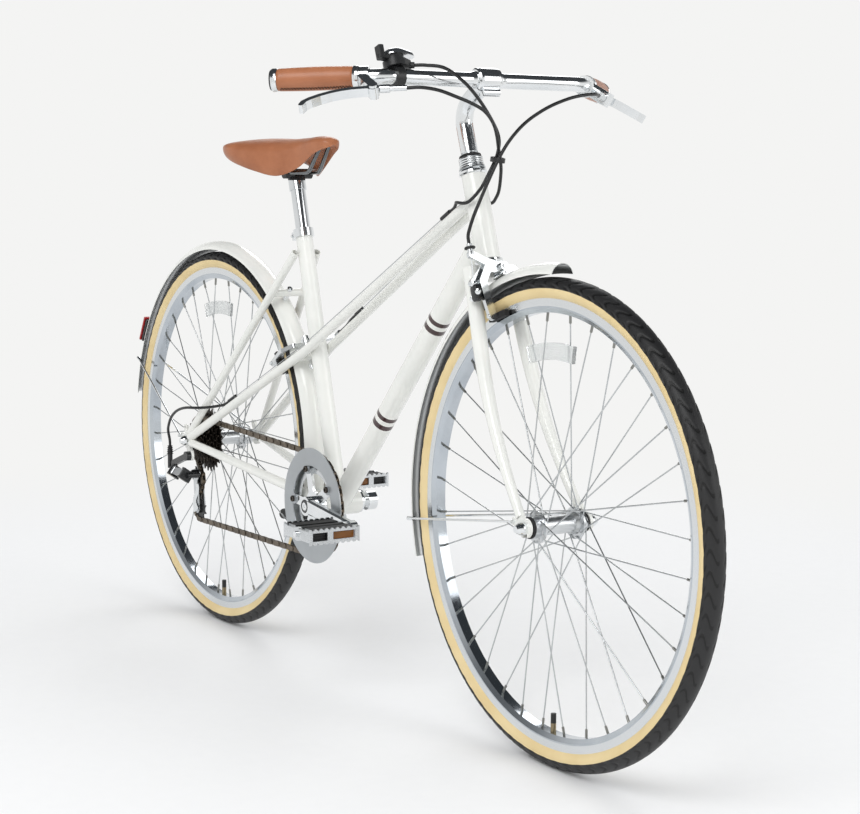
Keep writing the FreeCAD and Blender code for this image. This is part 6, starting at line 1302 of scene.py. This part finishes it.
@dataclass
class Drive(SubAssembly):
    """Cranks, chain, cogs, pedals and derailleur."""

    pedal_places: tuple[tuple[str, int, float, float], ...] = (("right", -1, 89.0, 278.2),
                                                               ("left", 1, -246.5, 295.8))
    block_ends: Pair = (90.2, 165.9)
    block_half: float = 40.0
    reflector: Triple = (38.6, 12.6, 1.8)
    reflector_face: float = 39.9
    reflector_middle: float = 111.8
    crank_face: float = 66.0
    crank_bolt: Profile = ((0, -1.0), (2.6, -1.0), (3.0, 0.8), (6.6, 1.4), (7.2, 0.8), (7.2, -2.0),
                           (0, -2.0))
    crank_ring: Profile = ((7.4, -1.5), (7.4, 0.7), (10.4, 1.3), (11.2, 0.6), (11.2, -1.5), (7.4, -1.5))
    ring_bolt: Profile = ((0, 0.6), (2.2, 0.6), (2.5, 2.2), (4.6, 2.4), (5.2, 1.6), (5.2, -1.0),
                          (0, -1.0))
    bolt_circle: float = 62.0
    bolt_count: int = 5
    crank_angle: float = -3.0
    teeth_radius: float = 78.0
    plate_route: Route = (
        (-517.0, -53.4, 262.0), (-515.0, -53.4, 254.0), (-519.5, -53.4, 244.0), (-526.5, -53.4, 235.0),
        (-527.5, -53.4, 226.0), (-524.0, -53.4, 217.0), (-521.0, -53.4, 211.0))
    plate_flatness: float = 0.16
    boot_foot: Triple = (-582.8, -77.0, 313.0)
    boot_length: float = 15.0
    boot_rib: float = 3.75

    def pedals(self) -> None:
        """Dress each pedal: black ribbed blocks between bright cages with amber reflectors."""
        half = self.block_half
        for name, side, x, z in self.pedal_places:
            low, high = sorted(side * end for end in self.block_ends)
            # Pedal: satin aluminium cage and end plates round a moulded black block.
            finish = BoxFinish(name + "_pedal_cage_and_block", "#dcdee0", "#cfd2d4", (0.22, 0.34),
                               Grain.CAST, 1.2, 0.015, metallic=1.0, other="#191a1b",
                               other_roughness=0.55,
                               boxes=(((x - half, low, z - half), (x + half, high, z + half)),)).make()
            self.dress(finish, name + "_pedal")
            Surface.joined([
                pillow(*self.reflector).placed(
                    np.array([x + face * self.reflector_face, side * self.reflector_middle, z]),
                    SIDE, UP, FORWARD * face)
                for face in SIDES
            ]).piece(name + "_pedal_reflectors", name + "_pedal", "red_lens", self.finishes.amber)

    def bolts(self) -> None:
        """Crank bolts in dark rings, and the chainring's bolts: low turned heads on outer faces."""
        own = self.finishes
        for profile, count, name, slot, material in (
                (self.crank_bolt, 32, "crank_bolts", "steel", own.chrome),
                (self.crank_ring, 40, "crank_bolt_rings", "black_metal", own.black_metal)):
            Surface.joined([
                lathe(profile, count).placed(BRACKET + SIDE * (side * self.crank_face), FORWARD, UP,
                                             SIDE * side)
                for side in SIDES
            ]).piece(name, "crankset", slot, material)
        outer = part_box("chain_guard")[0][1] / MM
        step = 360.0 / self.bolt_count
        turns = np.radians(self.crank_angle + (np.arange(self.bolt_count) + 0.5) * step)
        places = BRACKET + self.bolt_circle * np.stack([np.cos(turns), 0 * turns, np.sin(turns)], -1)
        Surface.joined([
            lathe(self.ring_bolt, 20).placed(np.array([place[0], outer, place[2]]), FORWARD, UP, -SIDE)
            for place in places
        ]).piece("chainring_bolts", "crankset", "dark_steel", own.blackened)

    def cage_plate(self) -> None:
        """Curved outer plate of the pulley cage: a flattened tube along an S, wide at its lower end."""
        path = smooth_path(np.array(self.plate_route), 10)
        share = np.linspace(0, 1, len(path))
        swell = 4.5 * np.clip((share - 0.55) / 0.3, 0, 1)
        width = 6.0 + swell - 4.0 * np.clip((share - 0.9) / 0.1, 0, 1) ** 2
        plate = tube(path, width, 20, (0.0, 1.0, 0.0))
        level = self.plate_route[0][1]
        plate.points[:, 1] = level + (plate.points[:, 1] - level) * self.plate_flatness
        plate.piece("cage_plate", "derailleur_cage", "polished_alloy", self.finishes.polished, 60)

    def boot(self) -> None:
        """Ribbed boot over the end of the gear housing: a wavy profile turned about its axis."""
        height = np.linspace(0, self.boot_length, 31)
        radius = 5.4 + 0.8 * np.cos(height / self.boot_rib * 2 * np.pi) - 0.08 * height
        profile = ((0.0, 0.0), *zip(radius, height), (0.0, self.boot_length))
        lathe(profile, 32).placed(np.array(self.boot_foot), FORWARD, SIDE, UP).piece(
            "gear_cable_boot", "frame", "black_plastic", self.finishes.rubber)

    def build(self) -> None:
        """Dress the drive and add its bolts, reflectors, cage plate and boot."""
        self.pedals()
        self.bolts()
        self.cage_plate()
        self.boot()
        self.dress(self.finishes.polished, "crank_arms")
        self.dress(self.finishes.chrome, "crank_axles")
        self.dress(self.finishes.anodised, "chain_guard")
        # Chainring: bright alloy web with dark, oily teeth.
        ring = WheelFinish("chainring_alloy_and_teeth", "#d9dcde", "#cdd0d2", (0.16, 0.28),
                           Grain.POLISHED, 2.4, 0.008, metallic=1.0, other="#4a443e",
                           other_metallic=1.0, other_roughness=0.4, axle=tuple(BRACKET),
                           radius=self.teeth_radius).make()
        self.dress(ring, "chainring")
        self.dress(self.finishes.blackened, "freewheel")
        self.dress(self.finishes.chain, "chain")
        self.dress(self.finishes.black_metal, "derailleur_bracket", "derailleur_knuckle",
                   "derailleur_inner_link")
        self.dress(self.finishes.satin, "derailleur_outer_link", "derailleur_cage")
        self.dress(self.finishes.plastic, "guide_pulley", "tension_pulley")


@dataclass
class Studio:
    """Pale floor, soft light and the camera at the photograph's angle."""

    place: Triple = (2.60614, -1.5356, 0.8181)
    yaw: float = 147.45
    pitch: float = -6.65
    roll: float = 0.34
    sensor: float = 36.0
    focal_pixels: float = 1870.2
    frame_pixels: tuple[int, int] = (860, 814)
    middle_pixels: Pair = (429.7, 402.0)
    background: str = "#f4f4f3"
    ceiling: str = "#3a3d40"
    sky_low: Triple = (0.52, 0.53, 0.54)
    sky_high: Triple = (0.80, 0.81, 0.82)
    sky_rise: Pair = (0.18, 0.5)
    floor_reach: tuple[float, ...] = (0.0, 1.0, 2.0, 4.0, 14.0)
    floor_fade: Pair = (1.3, 2.6)
    paper_tone: Pair = (0.84, 0.86)
    lamps: tuple[tuple[str, Triple, Triple, float, float], ...] = (
        ("key", (1.8, -2.6, 3.2), (0.0, 0.0, 0.5), 2.2, 66.0),
        ("fill", (3.2, 1.8, 1.8), (0.0, 0.0, 0.5), 1.8, 22.0),
        ("back", (-2.6, 2.0, 2.8), (0.0, 0.0, 0.6), 1.6, 26.0))

    def camera(self) -> None:
        """Set the camera from its place, yaw, pitch, roll and focal length in pixels."""
        yaw, pitch, roll = (math.radians(value) for value in (self.yaw, self.pitch, self.roll))
        level = math.cos(pitch)
        view = Vector((level * math.cos(yaw), level * math.sin(yaw), math.sin(pitch)))
        right = view.cross(Vector((0, 0, 1))).normalized()
        up = right.cross(view)
        right, up = (right * math.cos(roll) + up * math.sin(roll),
                     up * math.cos(roll) - right * math.sin(roll))
        width, height = self.frame_pixels
        lens = bpy.data.cameras.new("camera")
        lens.sensor_fit = "HORIZONTAL"
        lens.sensor_width = self.sensor
        lens.lens = self.focal_pixels * self.sensor / width
        lens.shift_x = (width / 2 - self.middle_pixels[0]) / width
        lens.shift_y = (self.middle_pixels[1] - height / 2) / width
        lens.clip_end = 100.0
        camera = bpy.data.objects.new("camera", lens)
        turn = Matrix((right, up, -view)).transposed().to_4x4()
        camera.matrix_world = Matrix.Translation(Vector(self.place)) @ turn
        bpy.context.scene.collection.objects.link(camera)
        bpy.context.scene.camera = camera

    def lamp(self, name: str, place: Triple, aim: Triple, size: float, watts: float) -> None:
        """Add one large soft lamp.

        Args:
            name: Name of the lamp.
            place: Where it hangs, in metres.
            aim: Point that it faces.
            size: Side of the lamp.
            watts: Power.
        """
        data = bpy.data.lights.new(name, "AREA")
        data.shape = "SQUARE"
        data.size = size
        data.energy = watts
        lamp = bpy.data.objects.new(name, data)
        lamp.location = place
        lamp.rotation_euler = (Vector(aim) - Vector(place)).to_track_quat("-Z", "Y").to_euler()
        bpy.context.scene.collection.objects.link(lamp)

    def seen(self, recipe: Recipe) -> Socket:
        """One for rays that show the backdrop: straight from the camera, off metal or through glass.

        Args:
            recipe: Tree to add to.

        Returns:
            The socket, zero for all other rays.
        """
        camera, glossy, glass = (recipe.add("LightPath", out="Is " + kind + " Ray")
                                 for kind in ("Camera", "Glossy", "Transmission"))
        return recipe.math("MAXIMUM", recipe.math("MAXIMUM", camera, glossy), glass)

    def world(self) -> None:
        """Soft room light, and a backdrop pale round the horizon and dark overhead for metal to show."""
        recipe = Recipe("studio", world=True)
        bpy.context.scene.world = recipe.owner
        rise = recipe.axis(recipe.add("TexCoord", out="Generated"), 2)
        share = recipe.ramp(rise, self.sky_rise, interpolation_type="SMOOTHSTEP")
        sky = recipe.mix(share, (*self.sky_low, 1.0), (*self.sky_high, 1.0))
        backdrop = recipe.mix(share, linear(self.background), linear(self.ceiling))
        colour = recipe.mix(self.seen(recipe), sky, backdrop)
        light = recipe.add("Background", {"Color": colour, "Strength": 1.0})
        recipe.add("OutputWorld", {"Surface": light})

    def floor(self) -> None:
        """Pale floor: a flat disc that keeps the near shadow and turns into the background far out."""
        angle = ring_angles(96)[:, None]
        reach = np.array(self.floor_reach)[None, :] / MM
        spots = np.stack(np.broadcast_arrays(reach * np.cos(angle), reach * np.sin(angle), -0.5), -1)
        recipe = Recipe("pale_seamless_paper")
        place = recipe.add("TexCoord", out="Object")
        share = recipe.ramp(recipe.vector("LENGTH", place), self.floor_fade,
                            interpolation_type="SMOOTHSTEP")
        tone = recipe.ramp(recipe.noise(place, 25.0, 2.0), target=self.paper_tone)
        paper = recipe.add("BsdfDiffuse", {"Color": tone})
        far = recipe.add("Emission", {"Color": linear(self.background)})
        seen = recipe.math("MULTIPLY", share, self.seen(recipe))
        mixed = recipe.add("MixShader", {0: seen, 1: paper, 2: far})
        recipe.add("OutputMaterial", {"Surface": mixed})
        Surface.grid(spots, wrap_rows=True).piece("floor", "", "", recipe.owner)

    def build(self) -> None:
        """Set up camera, world, floor and lamps."""
        bpy.context.scene.view_settings.view_transform = "Standard"
        self.camera()
        self.world()
        self.floor()
        for lamp in self.lamps:
            self.lamp(*lamp)


def main() -> None:
    """Build and dress the whole bicycle."""
    logging.basicConfig(level=logging.INFO, format="%(name)s %(message)s")
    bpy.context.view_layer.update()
    Studio().build()
    finishes = Finishes()
    FrameSet(finishes).build()
    for end, axle in ENDS:
        Wheel(finishes, end, axle).build()
    for assembly in (Seat, Cockpit, Brakes, Drive):
        assembly(finishes).build()


if __name__ == "__main__":
    main()
